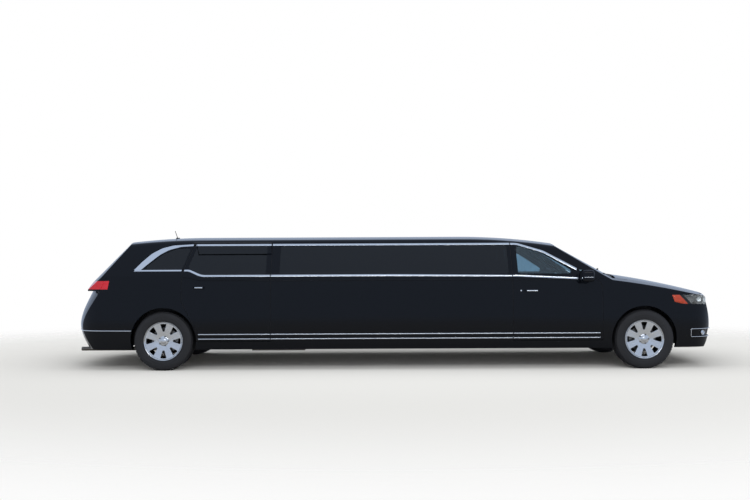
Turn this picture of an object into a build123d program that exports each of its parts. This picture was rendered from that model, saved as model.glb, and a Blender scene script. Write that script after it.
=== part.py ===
from build123d import *
import math
import os

os.makedirs("parts", exist_ok=True)

# Stretch limousine on a large crossover body. Millimetres, +X forward, +Y to the
# left, +Z up. The origin is on the ground at the middle of the length and width.

# Overall sizes
LENGTH = 8321.0
BODY_WIDTH = 1930.0
WHEELBASE = 6043.0
FRONT_OVERHANG = 1000.0
TRACK = 1656.0
ROOF_HEIGHT = 1694.0
SILL_HEIGHT = 262.0
BELT_HEIGHT = 1185.0

NOSE_X = LENGTH / 2
TAIL_X = -LENGTH / 2
HALF = BODY_WIDTH / 2
FRONT_AXLE_X = NOSE_X - FRONT_OVERHANG
REAR_AXLE_X = FRONT_AXLE_X - WHEELBASE
WHEEL_Y = TRACK / 2

# Plan of the body at each end: taper radius and angle, corner angle and half width there,
# and how far the plan runs past the end before the end face trims it
NOSE_PLAN = dict(taper_r=13200.0, taper_a=5.0, corner_a=75.0, corner_y=647.0, proud=30.0)
TAIL_PLAN = dict(taper_r=9000.0, taper_a=6.0, corner_a=68.0, corner_y=640.0, proud=40.0)
CORE_Y = 680.0
CORE_X = 3900.0

# Side section of the lower body, as tuck from the widest line
WIDEST_HEIGHT = 700.0
SILL_TUCK = 40.0
BELT_TUCK = 35.0
LOWER_TOP = 1260.0
# Side section of the glass house
GLASS_TUCK = 40.0
GLASS_LEAN = 27.0
GLASS_SAG = 7.0
RAIL_HEIGHT = 1578.0
HOUSE_FOOT = 1000.0
HOUSE_TOP = 1800.0
ROOF_CROWN_R = 4300.0
RAIL_RADIUS = 80.0

# Walls and gaps
LOWER_WALL = 80.0
UPPER_WALL = 45.0
ROOF_WALL = 36.0
FRONT_WALL = 40.0
END_WALL = 60.0
GLASS_INSET = 5.0
GLASS_THICK = 5.0
SEAT_GAP = 0.3
DOOR_GAP = 6.0
GATE_GAP = 10.0
COWL_GAP = 40.0
FLANGE_DEPTH = 12.0
FLANGE_LAP = 22.0

# Roof line: the level run and the arc that closes it at each end
ROOF_FRONT = dict(end=1, flat=900.0, radius=8500.0, angle=14.0)
ROOF_REAR = dict(end=-1, flat=2500.0, radius=8500.0, angle=12.0)

# Screens: foot on the centre line, plan radius, slope over the ground
SCREEN_FOOT_Z = 1170.0
WINDSHIELD = dict(end=1, foot=2910.0, radius=1900.0, slope=29.0)
BACKLIGHT = dict(end=-1, foot=-3930.0, radius=1700.0, slope=45.0)

# End faces on the centre line: (setback from the end, height), and plan radius
NOSE_LINE = ((75.0, 250.0), (10.0, 420.0), (0.0, 580.0), (25.0, 760.0), (75.0, 960.0), (150.0, 1300.0))
TAIL_LINE = ((110.0, 250.0), (25.0, 430.0), (0.0, 560.0), (20.0, 690.0), (105.0, 900.0), (240.0, 1260.0))
NOSE_R = 2500.0
TAIL_R = 1600.0

# Hood line: start, first and last slope, length, crown radius
HOOD_X = 2600.0
HOOD_Z = 1222.0
HOOD_SLOPES = (6.0, 16.0)
HOOD_RUN = 1700.0
HOOD_CROWN_R = 5000.0
HOOD_THICK = 26.0

# Wheels
TYRE_R = 369.5
TYRE_W = 236.0
RIM_R = 243.0
RIM_W = 210.0
ARCH_R = 412.0
ARCH_RISE = 8.0
HUB_BORE_R = 28.06
SPINDLE_R = 28.0
SPOKE_COUNT = 8
STEER_Y = 790.0

# Cabin and engine bay
CABIN_FRONT_X = 2700.0
BAY_REAR_X = 2745.0
COWL_Z = 1150.0
BULKHEAD_Y = 789.0

# Door cuts seen from the side
REAR_DOOR_FRONT_X = -1536.0
REAR_DOOR_BACK_X = -2648.0
FRONT_DOOR_BACK_X = 1513.0
FRONT_DOOR_FRONT_X = 2630.0
DOOR_BOTTOM_Z = 365.0
DOOR_TOP_Z = 1602.0
FENDER_X = FRONT_DOOR_FRONT_X + DOOR_GAP
DOOR_IN_Y = 640.0
DOOR_OUT_Y = 1100.0

# Windows seen from the side
WINDOW_TOP_Z = 1565.0
WINDOW_FOOT_Z = 1200.0
QUARTER_FOOT_Z = 1268.0
WINDOW_CORNER = 30.0
SCREEN_CORNER = 30.0
GATE_CORNER = 40.0

# Plan lines of the roof seam, the gate and the hood
ROOF_SEAM_Y = 600.0
ROOF_FRONT_X = 2400.0
GATE_TOP_X = -3330.0
GATE_LOW_Z = 700.0
GATE_LAMP_DEPTH = 35.0
HOOD_REAR_X = 2848.0
HOOD_FRONT_X = 3965.0
HOOD_BOW = 100.0
HOOD_REAR_Y = 780.0
HOOD_FRONT_Y = 690.0

# Outlines seen from the side, as (X, Z)
REAR_DOOR = (
    (REAR_DOOR_FRONT_X, DOOR_BOTTOM_Z),
    (REAR_DOOR_FRONT_X, DOOR_TOP_Z),
    (REAR_DOOR_BACK_X + 128, DOOR_TOP_Z),
    (REAR_DOOR_BACK_X, 1230),
    (REAR_DOOR_BACK_X, 870),
    (REAR_DOOR_BACK_X + 183, 500),
    (REAR_DOOR_BACK_X + 183, DOOR_BOTTOM_Z),
)
FRONT_DOOR = (
    (FRONT_DOOR_BACK_X, DOOR_BOTTOM_Z),
    (FRONT_DOOR_BACK_X, DOOR_TOP_Z),
    (FRONT_DOOR_BACK_X + 90, DOOR_TOP_Z),
    (FRONT_DOOR_BACK_X + 420, 1500),
    (FRONT_DOOR_FRONT_X - 210, 1225),
    (FRONT_DOOR_FRONT_X - 30, 1095),
    (FRONT_DOOR_FRONT_X, 1030),
    (FRONT_DOOR_FRONT_X, DOOR_BOTTOM_Z),
)
REAR_DOOR_WINDOW = (
    (REAR_DOOR_FRONT_X - 60, WINDOW_FOOT_Z),
    (REAR_DOOR_FRONT_X - 60, WINDOW_TOP_Z),
    (REAR_DOOR_BACK_X + 150, WINDOW_TOP_Z),
    (REAR_DOOR_BACK_X + 62, 1290),
    (REAR_DOOR_BACK_X + 250, WINDOW_FOOT_Z),
)
FRONT_DOOR_WINDOW = (
    (FRONT_DOOR_BACK_X + 70, WINDOW_FOOT_Z),
    (FRONT_DOOR_BACK_X + 70, WINDOW_TOP_Z - 3),
    (FRONT_DOOR_BACK_X + 390, 1460),
    (FRONT_DOOR_FRONT_X - 300, WINDOW_FOOT_Z),
)
STRETCH_WINDOW = (
    (REAR_DOOR_FRONT_X + 110, WINDOW_FOOT_Z),
    (REAR_DOOR_FRONT_X + 110, WINDOW_TOP_Z),
    (FRONT_DOOR_BACK_X - 45, WINDOW_TOP_Z),
    (FRONT_DOOR_BACK_X - 45, WINDOW_FOOT_Z),
)
QUARTER_WINDOW = (
    (REAR_DOOR_BACK_X - 10, QUARTER_FOOT_Z),
    (REAR_DOOR_BACK_X + 75, 1545),
    (REAR_DOOR_BACK_X - 110, 1535),
    (REAR_DOOR_BACK_X - 270, 1470),
    (REAR_DOOR_BACK_X - 520, QUARTER_FOOT_Z),
)
LAMP_FOOT_Z = 812.0
FRONT_BUMPER = (
    (3545, 100),
    (3545, 560),
    (3640, LAMP_FOOT_Z),
    (3990, 800),
    (3990, 1150),
    (4400, 1150),
    (4400, 100),
)
HEADLAMP = ((3512, 922), (3545, 836), (3640, LAMP_FOOT_Z), (4400, 786), (4400, 930))
REAR_BUMPER = ((-3265, 100), (-3265, 520), (-3560, 640), (-3640, 694), (-4400, 694), (-4400, 100))
TAIL_LAMP = ((-3590, 1022), (-3572, 1128), (-4400, 1120), (-4400, 1022))
# Outlines seen from the end, left half, as (Y, Z)
WINDSHIELD_HOLE = ((815, 1198), (650, 1560))
GATE = ((560, GATE_LOW_Z), (660, 780), (678, 1040), (652, 1250), (591, 1500), (575, 1900))
GATE_WINDOW = ((600, 1205), (530, 1570))
GATE_LAMP = ((655, 1022), (655, 1122))
GRILLE_HOLE = ((470, 625), (520, 800), (505, 868))
INTAKE_HOLE = ((430, 300), (470, 455))
# Fog lamp recess round the front corner: limits and depth
FOG_RECESS = dict(x0=3765.0, x1=4060.0, z0=400.0, z1=488.0, depth=22.0)

# Grille: border, bar thickness, pitch of the upright bars, heights of the long bars, depth
GRILLE_BORDER = 16.0
GRILLE_BAR = 8.0
GRILLE_PITCH = 34.0
GRILLE_COUNT = 31
GRILLE_RAILS = (638.0, 745.0, 852.0)
GRILLE_RAIL_HEIGHT = 18.0
GRILLE_INSET = 12.0
GRILLE_DEPTH = 18.0

# Door handles and mirrors: handle ends along X and height, per door
HANDLES = dict(front=(1651.0, 1840.0, 985.0), rear=(-2503.0, -2352.0, 1040.0))
HANDLE_REACH = 34.0
HANDLE_BAR = 13.0
HANDLE_HEIGHT = 26.0
HANDLE_ROUND = 8.0
MIRROR_X = 2424.0
MIRROR_Y = 1014.0
MIRROR_Z = 1167.0
MIRROR_SIZE = (154.0, 168.0, 148.0)
MIRROR_ROUND = 38.0
MIRROR_FOOT = (90.0, 44.0)

# Aerial on the roof
AERIAL_X = -2941.0
AERIAL_R = 4.0
AERIAL_BASE_R = 17.0
AERIAL_LENGTH = 115.0
AERIAL_LEAN = 19.0


def rad(degrees):
    return math.radians(degrees)


def plan_arcs(plan):
    """Arcs of one end of the plan outline as (radius, angle), and the length they take along X."""
    taper = rad(plan["taper_a"])
    corner = rad(plan["corner_a"])
    taper_end = HALF - plan["taper_r"] * (1 - math.cos(taper))
    corner_r = (taper_end - plan["corner_y"]) / (math.cos(taper) - math.cos(corner))
    end_r = plan["corner_y"] / math.cos(corner)
    run = plan["taper_r"] * math.sin(taper) + corner_r * (math.sin(corner) - math.sin(taper))
    run += end_r * (1 - math.sin(corner))
    arcs = (
        (plan["taper_r"], plan["taper_a"]),
        (corner_r, plan["corner_a"] - plan["taper_a"]),
        (end_r, 90 - plan["corner_a"]),
    )
    return arcs, run


def plan_path(end, turns=3):
    """Left half of the plan outline, from mid length to the nose (+1) or the tail (-1)."""
    plan = NOSE_PLAN if end > 0 else TAIL_PLAN
    arcs, run = plan_arcs(plan)
    with BuildLine() as path:
        last = Line((0, HALF), (end * (LENGTH / 2 + plan["proud"] - run), HALF))
        for radius, angle in arcs[:turns]:
            last = JernArc(start=last @ 1, tangent=last % 1, radius=radius, arc_size=-end * angle)
    return path.line


def carried_round(section, low, high, nose_turns=3):
    """A side section (local Y, Z) carried round the plan, mirrored and filled."""
    with BuildPart() as body:
        for end, turns in ((1, nose_turns), (-1, 3)):
            with BuildSketch(Plane.YZ):
                add(section)
            sweep(path=plan_path(end, turns))
        mirror(about=Plane.XZ)
        with BuildSketch(Plane.XY.offset(low)):
            Rectangle(2 * CORE_X, 2 * CORE_Y)
        extrude(amount=high - low)
    return body.part


def lower_ring(inset, low=SILL_HEIGHT):
    """Lower body from sill to belt, carried round the plan."""
    with BuildSketch() as section:
        with BuildLine():
            wall = ThreePointArc(
                (HALF - SILL_TUCK - inset, SILL_HEIGHT),
                (HALF - inset, WIDEST_HEIGHT),
                (HALF - BELT_TUCK - inset, BELT_HEIGHT),
            )
            top = PolarLine(wall @ 1, (LOWER_TOP - BELT_HEIGHT) / (wall % 1).Y, direction=wall % 1)
            Polyline(
                top @ 1,
                (CORE_Y - 20, LOWER_TOP),
                (CORE_Y - 20, low),
                (HALF - SILL_TUCK - inset, low),
                wall @ 0,
            )
        make_face()
    return carried_round(section.sketch, low, LOWER_TOP)


def house_ring(inset):
    """Glass house from inside the body up past the roof, carried round the plan."""
    lean = rad(GLASS_LEAN)
    rise = RAIL_HEIGHT - BELT_HEIGHT
    foot_y = HALF - GLASS_TUCK - inset
    rail_y = foot_y - rise * math.tan(lean)
    middle_y = (foot_y + rail_y) / 2 + GLASS_SAG * math.cos(lean)
    middle_z = (BELT_HEIGHT + RAIL_HEIGHT) / 2 + GLASS_SAG * math.sin(lean)
    with BuildSketch() as section:
        with BuildLine():
            wall = ThreePointArc((foot_y, BELT_HEIGHT), (middle_y, middle_z), (rail_y, RAIL_HEIGHT))
            top = PolarLine(wall @ 1, (HOUSE_TOP - RAIL_HEIGHT) / (wall % 1).Y, direction=wall % 1)
            Polyline(
                top @ 1,
                (CORE_Y - 140, HOUSE_TOP),
                (CORE_Y - 140, HOUSE_FOOT),
                (foot_y, HOUSE_FOOT),
                (foot_y, BELT_HEIGHT),
            )
        make_face()
    return carried_round(section.sketch, HOUSE_FOOT, HOUSE_TOP, nose_turns=1)


def under_roof(inset):
    """All that lies under the roof's crown."""
    crown = ROOF_HEIGHT - inset
    drop = ROOF_CROWN_R - math.sqrt(ROOF_CROWN_R**2 - 1000.0**2)
    with BuildPart() as below:
        for line in (ROOF_FRONT, ROOF_REAR):
            end = line["end"]
            with BuildSketch(Plane.YZ):
                with BuildLine():
                    ThreePointArc((-1000, crown - drop), (0, crown), (1000, crown - drop))
                    Polyline((1000, crown - drop), (1000, 200), (-1000, 200), (-1000, crown - drop))
                make_face()
            with BuildLine(Plane.XZ):
                level = Line((0, ROOF_HEIGHT), (end * line["flat"], ROOF_HEIGHT))
                bend = JernArc(level @ 1, level % 1, line["radius"], -end * line["angle"])
                PolarLine(bend @ 1, 1200, direction=bend % 1)
            sweep()
    return below.part


def behind_screen(screen, inset):
    """All that lies behind a screen: its plan arc carried up its slope."""
    end = screen["end"]
    radius = screen["radius"]
    slope = rad(screen["slope"])
    foot = screen["foot"] + end * (SCREEN_FOOT_Z - HOUSE_FOOT) / math.tan(slope)
    foot -= end * inset / math.sin(slope)
    sag = radius - math.sqrt(radius**2 - 1100.0**2)
    with BuildPart() as space:
        with BuildSketch(Plane.XY.offset(HOUSE_FOOT)):
            with BuildLine():
                ThreePointArc((foot - end * sag, -1100), (foot, 0), (foot - end * sag, 1100))
                Polyline(
                    (foot - end * sag, 1100),
                    (foot - end * 5200, 1100),
                    (foot - end * 5200, -1100),
                    (foot - end * sag, -1100),
                )
            make_face()
        extrude(amount=800 / math.sin(slope), dir=(-end * math.cos(slope), 0, math.sin(slope)))
    return space.part


def behind_end(end, inset):
    """All that lies behind the nose (+1) or tail (-1): its line turned about an upright axis."""
    line = NOSE_LINE if end > 0 else TAIL_LINE
    radius = NOSE_R if end > 0 else TAIL_R
    tip = end * (LENGTH / 2 - inset)
    axis_x = tip - end * radius
    low = line[0][1]
    high = line[-1][1]
    with BuildPart() as space:
        with BuildSketch(Plane.XZ):
            with BuildLine():
                points = [(tip - end * back, z) for back, z in line]
                Spline(points)
                Polyline(points[-1], (axis_x, high), (axis_x, low), points[0])
            make_face()
        revolve(axis=Axis((axis_x, 0, 0), (0, 0, 1)))
        with BuildSketch(Plane.XY.offset(low)):
            with Locations((axis_x - end * 3500, 0)):
                Rectangle(7000, 2400)
        extrude(amount=high - low)
    return space.part


def above_hood(rise):
    """All that lies above the hood's crown, moved up by rise."""
    first, last = (rad(slope) for slope in HOOD_SLOPES)
    start = HOOD_Z + rise
    drop = HOOD_CROWN_R - math.sqrt(HOOD_CROWN_R**2 - 1000.0**2)
    heading = (math.cos(first), 0, -math.sin(first))
    begin = Plane(origin=(HOOD_X, 0, start), x_dir=(0, 1, 0), z_dir=heading)
    with BuildPart() as above:
        with BuildSketch(begin):
            with BuildLine():
                ThreePointArc((-1000, -drop), (0, 0), (1000, -drop))
                Polyline((1000, -drop), (1000, 700), (-1000, 700), (-1000, -drop))
            make_face()
        with BuildLine(Plane.XZ):
            JernArc(
                (HOOD_X, start),
                (math.cos(first), -math.sin(first)),
                HOOD_RUN / (last - first),
                HOOD_SLOPES[0] - HOOD_SLOPES[1],
            )
        sweep()
    return above.part


def prism(outline, y0, y1, corner=0.0, grow=0.0):
    """A side outline (X, Z) carried across the car from y0 to y1, corners rounded, then grown."""
    with BuildPart() as block:
        with BuildSketch(Plane.XZ.offset(-y0)) as face:
            with BuildLine():
                Polyline(*outline, close=True)
            make_face()
            if corner:
                fillet(face.vertices(), corner)
            if grow:
                offset(amount=grow, mode=Mode.REPLACE)
        extrude(amount=y0 - y1)
    return block.part


def across(outline, x0, x1, corner=0.0, grow=0.0):
    """An end outline (Y, Z), its left half given, mirrored and carried from x0 to x1."""
    with BuildPart() as block:
        with BuildSketch(Plane.YZ.offset(x0)) as face:
            with BuildLine():
                Polyline(*outline, *((-y, z) for y, z in reversed(outline)), close=True)
            make_face()
            if corner:
                fillet(face.vertices(), corner)
            if grow:
                offset(amount=grow, mode=Mode.REPLACE)
        extrude(amount=x1 - x0)
    return block.part


def arch(axle_x, radius, y0, y1):
    """A round of the wheel arch from y0 to y1."""
    with BuildPart() as hole:
        with BuildSketch(Plane.XZ.offset(-y0)):
            with Locations((axle_x, TYRE_R + ARCH_RISE)):
                Circle(radius)
        extrude(amount=y0 - y1)
    return hole.part


def slab(x0, x1, y0, y1, z0, z1):
    """A plain block between its limits."""
    with BuildPart() as block:
        with Locations(((x0 + x1) / 2, (y0 + y1) / 2, (z0 + z1) / 2)):
            Box(abs(x1 - x0), abs(y1 - y0), abs(z1 - z0))
    return block.part


def hood_outline(grow):
    """The hood's outline in plan, carried up."""
    with BuildPart() as block:
        with BuildSketch(Plane.XY.offset(600)):
            with BuildLine():
                ThreePointArc(
                    (HOOD_REAR_X, -HOOD_REAR_Y), (HOOD_REAR_X + HOOD_BOW, 0), (HOOD_REAR_X, HOOD_REAR_Y)
                )
                Line((HOOD_REAR_X, HOOD_REAR_Y), (HOOD_FRONT_X, HOOD_FRONT_Y))
                ThreePointArc(
                    (HOOD_FRONT_X, HOOD_FRONT_Y), (HOOD_FRONT_X + HOOD_BOW, 0), (HOOD_FRONT_X, -HOOD_FRONT_Y)
                )
                Line((HOOD_FRONT_X, -HOOD_FRONT_Y), (HOOD_REAR_X, -HOOD_REAR_Y))
            make_face()
            if grow:
                offset(amount=grow, mode=Mode.REPLACE)
        extrude(amount=700)
    return block.part


def house(wall, roof, screen):
    """Glass house with its walls, roof and screens set in."""
    ring = house_ring(wall)
    crown = under_roof(roof)
    front = behind_screen(WINDSHIELD, screen)
    rear = behind_screen(BACKLIGHT, screen)
    tail = behind_end(-1, screen)
    spare = slab(TAIL_X - 300, BACKLIGHT["foot"] + 60, -BODY_WIDTH, BODY_WIDTH, HOUSE_FOOT - 50, 1250)
    with BuildPart() as between:
        add(front)
        add(rear)
    with BuildPart() as past_tail:
        add(spare)
        add(tail, mode=Mode.SUBTRACT)
    with BuildPart() as hull:
        add(ring)
        add(crown, mode=Mode.INTERSECT)
        add(between.part, mode=Mode.INTERSECT)
        add(past_tail.part, mode=Mode.SUBTRACT)
    return hull.part


# Outer volume: lower body and glass house
lower_skin = lower_ring(0)
nose_space = behind_end(1, 0)
tail_space = behind_end(-1, 0)
hood_top = above_hood(0)
above_belt = prism(
    (
        (TAIL_X - 400, BELT_HEIGHT),
        (HOOD_X - 220, BELT_HEIGHT),
        (HOOD_X, 1136),
        (HOOD_X + 60, 1500),
        (TAIL_X - 400, 1500),
    ),
    -BODY_WIDTH,
    BODY_WIDTH,
)
house_skin = house(0, 0, 0)
with BuildPart() as outer_lower:
    add(lower_skin)
    add(nose_space, mode=Mode.INTERSECT)
    add(tail_space, mode=Mode.INTERSECT)
    add(above_belt, mode=Mode.SUBTRACT)
    add(hood_top, mode=Mode.SUBTRACT)
with BuildPart() as outer_house:
    add(house_skin)
    rails = outer_house.edges().filter_by(lambda e: e.center().Z > 1600 and abs(e.center().Y) > ROOF_SEAM_Y)
    fillet(rails, RAIL_RADIUS)

# Hollow of the cabin and of the engine bay
inner_house_skin = house(UPPER_WALL, ROOF_WALL, END_WALL)
under_cowl = slab(CABIN_FRONT_X, CABIN_FRONT_X + 800, -BODY_WIDTH, BODY_WIDTH, 900, COWL_Z)
inner_lower_skin = lower_ring(LOWER_WALL, low=100.0)
inner_tail = behind_end(-1, END_WALL)
cabin_length = slab(TAIL_X, CABIN_FRONT_X, -BODY_WIDTH, BODY_WIDTH, 0, BELT_HEIGHT + 100)
bay_skin = lower_ring(FRONT_WALL, low=100.0)
bay_nose = behind_end(1, FRONT_WALL)
hood_under = above_hood(-HOOD_THICK)
bay_length = slab(BAY_REAR_X, NOSE_X, -BODY_WIDTH, BODY_WIDTH, 0, 1300)
with BuildPart() as inner_house:
    add(inner_house_skin)
    add(under_cowl, mode=Mode.SUBTRACT)
with BuildPart() as inner_lower:
    add(inner_lower_skin)
    add(inner_tail, mode=Mode.INTERSECT)
    add(above_belt, mode=Mode.SUBTRACT)
    add(cabin_length, mode=Mode.INTERSECT)
with BuildPart() as bay:
    add(bay_skin)
    add(bay_nose, mode=Mode.INTERSECT)
    add(hood_under, mode=Mode.SUBTRACT)
    add(bay_length, mode=Mode.INTERSECT)
with BuildPart() as shell:
    add(outer_lower.part)
    add(outer_house.part)
    add(inner_house.part, mode=Mode.SUBTRACT)
    add(inner_lower.part, mode=Mode.SUBTRACT)
    add(bay.part, mode=Mode.SUBTRACT)

# Layers that the doors' flanges and the panes follow
flange_lower = lower_ring(FLANGE_DEPTH, low=100.0)
flange_house = house_ring(FLANGE_DEPTH)
pane_face = house_ring(GLASS_INSET)
pane_back = house_ring(GLASS_INSET + GLASS_THICK)
with BuildPart() as flange_core:
    add(flange_lower)
    add(flange_house)
with BuildPart() as pane_layer:
    add(pane_face)
    add(pane_back, mode=Mode.SUBTRACT)
left_half = slab(TAIL_X - 200, NOSE_X + 200, 0, BODY_WIDTH, 0, 2000)


def wall_y(z):
    """Half width of the straight part of the lower body at a height."""
    with BuildLine() as section:
        ThreePointArc(
            (HALF - SILL_TUCK, SILL_HEIGHT), (HALF, WIDEST_HEIGHT), (HALF - BELT_TUCK, BELT_HEIGHT)
        )
    curve = section.line.edge()
    rise = z - curve.arc_center.Y
    return curve.arc_center.X + math.sqrt(curve.radius**2 - rise**2)


def handle_shape(x0, x1, z):
    """A left-hand pull handle: a bar on two sloping feet, sunk into the skin."""
    skin = wall_y(z) - 4
    reach = skin + HANDLE_REACH
    foot = 2 * HANDLE_BAR
    with BuildPart() as handle:
        with BuildSketch(Plane.XY.offset(z - HANDLE_HEIGHT / 2)) as plan:
            with BuildLine():
                Polyline(
                    (x0, skin),
                    (x0 + 24, reach),
                    (x1 - 24, reach),
                    (x1, skin),
                    (x1 - foot, skin),
                    (x1 - foot - 18, reach - HANDLE_BAR),
                    (x0 + foot + 18, reach - HANDLE_BAR),
                    (x0 + foot, skin),
                    close=True,
                )
            make_face()
            fillet(plan.vertices().filter_by(lambda v: v.Y > skin + 5), HANDLE_ROUND)
        extrude(amount=HANDLE_HEIGHT)
    return handle.part


def mirror_shape():
    """A left-hand mirror housing with its foot, rounded all over and hollowed behind its glass."""
    length, width, height = MIRROR_SIZE
    foot_length, foot_height = MIRROR_FOOT
    foot_z = MIRROR_Z - height / 2 + foot_height / 2
    foot_in = wall_y(MIRROR_Z) - 60
    with BuildPart() as housing:
        with Locations((MIRROR_X, MIRROR_Y, MIRROR_Z)):
            Box(length, width, height)
        fillet(housing.edges(), MIRROR_ROUND)
        with BuildSketch(Plane.YZ.offset(MIRROR_X - length / 2)):
            with Locations((MIRROR_Y, MIRROR_Z)):
                RectangleRounded(width - 44, height - 40, 30)
        extrude(amount=16, mode=Mode.SUBTRACT)
        with Locations((MIRROR_X, (foot_in + MIRROR_Y) / 2, foot_z)):
            Box(foot_length, MIRROR_Y - foot_in, foot_height)
    return housing.part


def door_shape(outline, window, furniture):
    """A left-hand door: outer flange to the cut line, the body set in behind it, and what it carries."""
    block = prism(outline, DOOR_IN_Y, DOOR_OUT_Y)
    core = prism(outline, DOOR_IN_Y, DOOR_OUT_Y, grow=-FLANGE_LAP)
    opening = prism(window, DOOR_IN_Y, DOOR_OUT_Y, WINDOW_CORNER)
    with BuildPart() as step:
        add(block)
        add(core, mode=Mode.SUBTRACT)
        add(flange_core.part, mode=Mode.INTERSECT)
    with BuildPart() as door:
        add(shell.part)
        add(block, mode=Mode.INTERSECT)
        add(step.part, mode=Mode.SUBTRACT)
        add(opening, mode=Mode.SUBTRACT)
        for piece in furniture:
            add(piece)
    return door.part


def pane_shape(window):
    """A left-hand pane seated in its opening."""
    opening = prism(window, DOOR_IN_Y, DOOR_OUT_Y, WINDOW_CORNER, -SEAT_GAP)
    with BuildPart() as pane:
        add(pane_layer.part)
        add(opening, mode=Mode.INTERSECT)
    return pane.part


# Doors with their glass: name, outline, window, handles and mirrors
DOORS = (
    ("front", FRONT_DOOR, FRONT_DOOR_WINDOW, (handle_shape(*HANDLES["front"]), mirror_shape())),
    ("rear", REAR_DOOR, REAR_DOOR_WINDOW, (handle_shape(*HANDLES["rear"]),)),
)
for place, outline, window, furniture in DOORS:
    door_left = door_shape(outline, window, furniture)
    pane_left = pane_shape(window)
    with BuildPart() as door:
        add(door_left)
    door.part.label = f"door_{place}_left"
    export_step(door.part, f"parts/door_{place}_left.step")
    with BuildPart() as door:
        mirror(door_left, about=Plane.XZ)
    door.part.label = f"door_{place}_right"
    export_step(door.part, f"parts/door_{place}_right.step")
    with BuildPart() as pane:
        add(pane_left)
    pane.part.label = f"door_glass_{place}_left"
    export_step(pane.part, f"parts/door_glass_{place}_left.step")
    with BuildPart() as pane:
        mirror(pane_left, about=Plane.XZ)
    pane.part.label = f"door_glass_{place}_right"
    export_step(pane.part, f"parts/door_glass_{place}_right.step")

# Body sides
hood_seat = above_hood(SEAT_GAP)
cowl_side = slab(BAY_REAR_X - SEAT_GAP, 3300, 0, BODY_WIDTH, 900, 2000)
cabin_side = slab(TAIL_X - 100, BAY_REAR_X - SEAT_GAP, 0, BODY_WIDTH, 0, 2000)
fender_layer = slab(FENDER_X, BAY_REAR_X, 0, BODY_WIDTH, 0, 1600)
gate_space = across(GATE, TAIL_X - 300, GATE_TOP_X + DOOR_GAP, grow=GATE_GAP)
screen_cut = across(WINDSHIELD_HOLE, 1700, 3400, SCREEN_CORNER)
side_cuts = [
    gate_space,
    screen_cut,
    arch(REAR_AXLE_X, ARCH_R, 500, 1100),
    arch(FRONT_AXLE_X, ARCH_R, 500, 1100),
    prism(FRONT_DOOR, DOOR_IN_Y, DOOR_OUT_Y, grow=DOOR_GAP),
    prism(REAR_DOOR, DOOR_IN_Y, DOOR_OUT_Y, grow=DOOR_GAP),
    prism(STRETCH_WINDOW, DOOR_IN_Y, DOOR_OUT_Y, WINDOW_CORNER),
    prism(QUARTER_WINDOW, DOOR_IN_Y, DOOR_OUT_Y, WINDOW_CORNER),
    prism(REAR_BUMPER, 0, BODY_WIDTH),
    prism(TAIL_LAMP, 0, BODY_WIDTH),
    slab(TAIL_X, 3300, 0, ROOF_SEAM_Y, 1180, 2000),
    slab(2550, 3300, 0, BULKHEAD_Y + 1, 100, 1198),
    slab(TAIL_X - 100, -3600, 0, GATE[0][0] + GATE_GAP, 100, BELT_HEIGHT),
]
with BuildPart() as side_region:
    add(cowl_side)
    add(hood_seat, mode=Mode.INTERSECT)
    add(cabin_side)
with BuildPart() as fender_seat:
    add(fender_layer)
    add(bay_skin, mode=Mode.SUBTRACT)
    add(hood_top, mode=Mode.SUBTRACT)
with BuildPart() as body_side_left:
    add(shell.part)
    add(side_region.part, mode=Mode.INTERSECT)
    add(fender_seat.part, mode=Mode.SUBTRACT)
    for cut in side_cuts:
        add(cut, mode=Mode.SUBTRACT)
body_side_left.part.label = "body_side_left"
export_step(body_side_left.part, "parts/body_side_left.step")
with BuildPart() as body_side_right:
    mirror(body_side_left.part, about=Plane.XZ)
body_side_right.part.label = "body_side_right"
export_step(body_side_right.part, "parts/body_side_right.step")

# Roof, with the aerial standing on it
roof_region = slab(GATE_TOP_X + DOOR_GAP, ROOF_FRONT_X, SEAT_GAP - ROOF_SEAM_Y, ROOF_SEAM_Y - SEAT_GAP, 1400, 2000)
with BuildPart() as roof_panel:
    add(shell.part)
    add(roof_region, mode=Mode.INTERSECT)
    add(screen_cut, mode=Mode.SUBTRACT)
roof_panel.part.label = "roof_panel"
export_step(roof_panel.part, "parts/roof_panel.step")
roof_seat = under_roof(-SEAT_GAP)
lean = rad(AERIAL_LEAN)
mast = Plane(
    origin=(AERIAL_X, 0, ROOF_HEIGHT - 12), x_dir=(0, 1, 0), z_dir=(-math.sin(lean), 0, math.cos(lean))
)
with BuildPart() as aerial:
    with BuildSketch(Plane.XY.offset(ROOF_HEIGHT - 30)):
        with Locations((AERIAL_X, 0)):
            Ellipse(2 * AERIAL_BASE_R, AERIAL_BASE_R)
    extrude(amount=36, taper=15)
    with BuildSketch(mast):
        Circle(AERIAL_R + 3)
    extrude(amount=30, taper=5)
    with BuildSketch(mast):
        Circle(AERIAL_R)
    extrude(amount=AERIAL_LENGTH)
    add(roof_seat, mode=Mode.SUBTRACT)
aerial.part.label = "aerial"
export_step(aerial.part, "parts/aerial.step")

# Gate with its lamp and window
gate_block = across(GATE, TAIL_X - 300, GATE_TOP_X)
lamp_block = across(GATE_LAMP, TAIL_X - 300, -3700)
lamp_core = behind_end(-1, GATE_LAMP_DEPTH)
gate_hole = across(GATE_WINDOW, TAIL_X - 300, GATE_TOP_X - 10, GATE_CORNER)
gate_pane = across(GATE_WINDOW, -4000, GATE_TOP_X - 10, GATE_CORNER, -SEAT_GAP)
glass_top = under_roof(3)
gate_face = behind_screen(BACKLIGHT, GLASS_INSET)
gate_back = behind_screen(BACKLIGHT, GLASS_INSET + GLASS_THICK)
with BuildPart() as liftgate_lamp:
    add(shell.part)
    add(gate_block, mode=Mode.INTERSECT)
    add(lamp_block, mode=Mode.INTERSECT)
    add(lamp_core, mode=Mode.SUBTRACT)
liftgate_lamp.part.label = "liftgate_lamp"
export_step(liftgate_lamp.part, "parts/liftgate_lamp.step")
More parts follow.
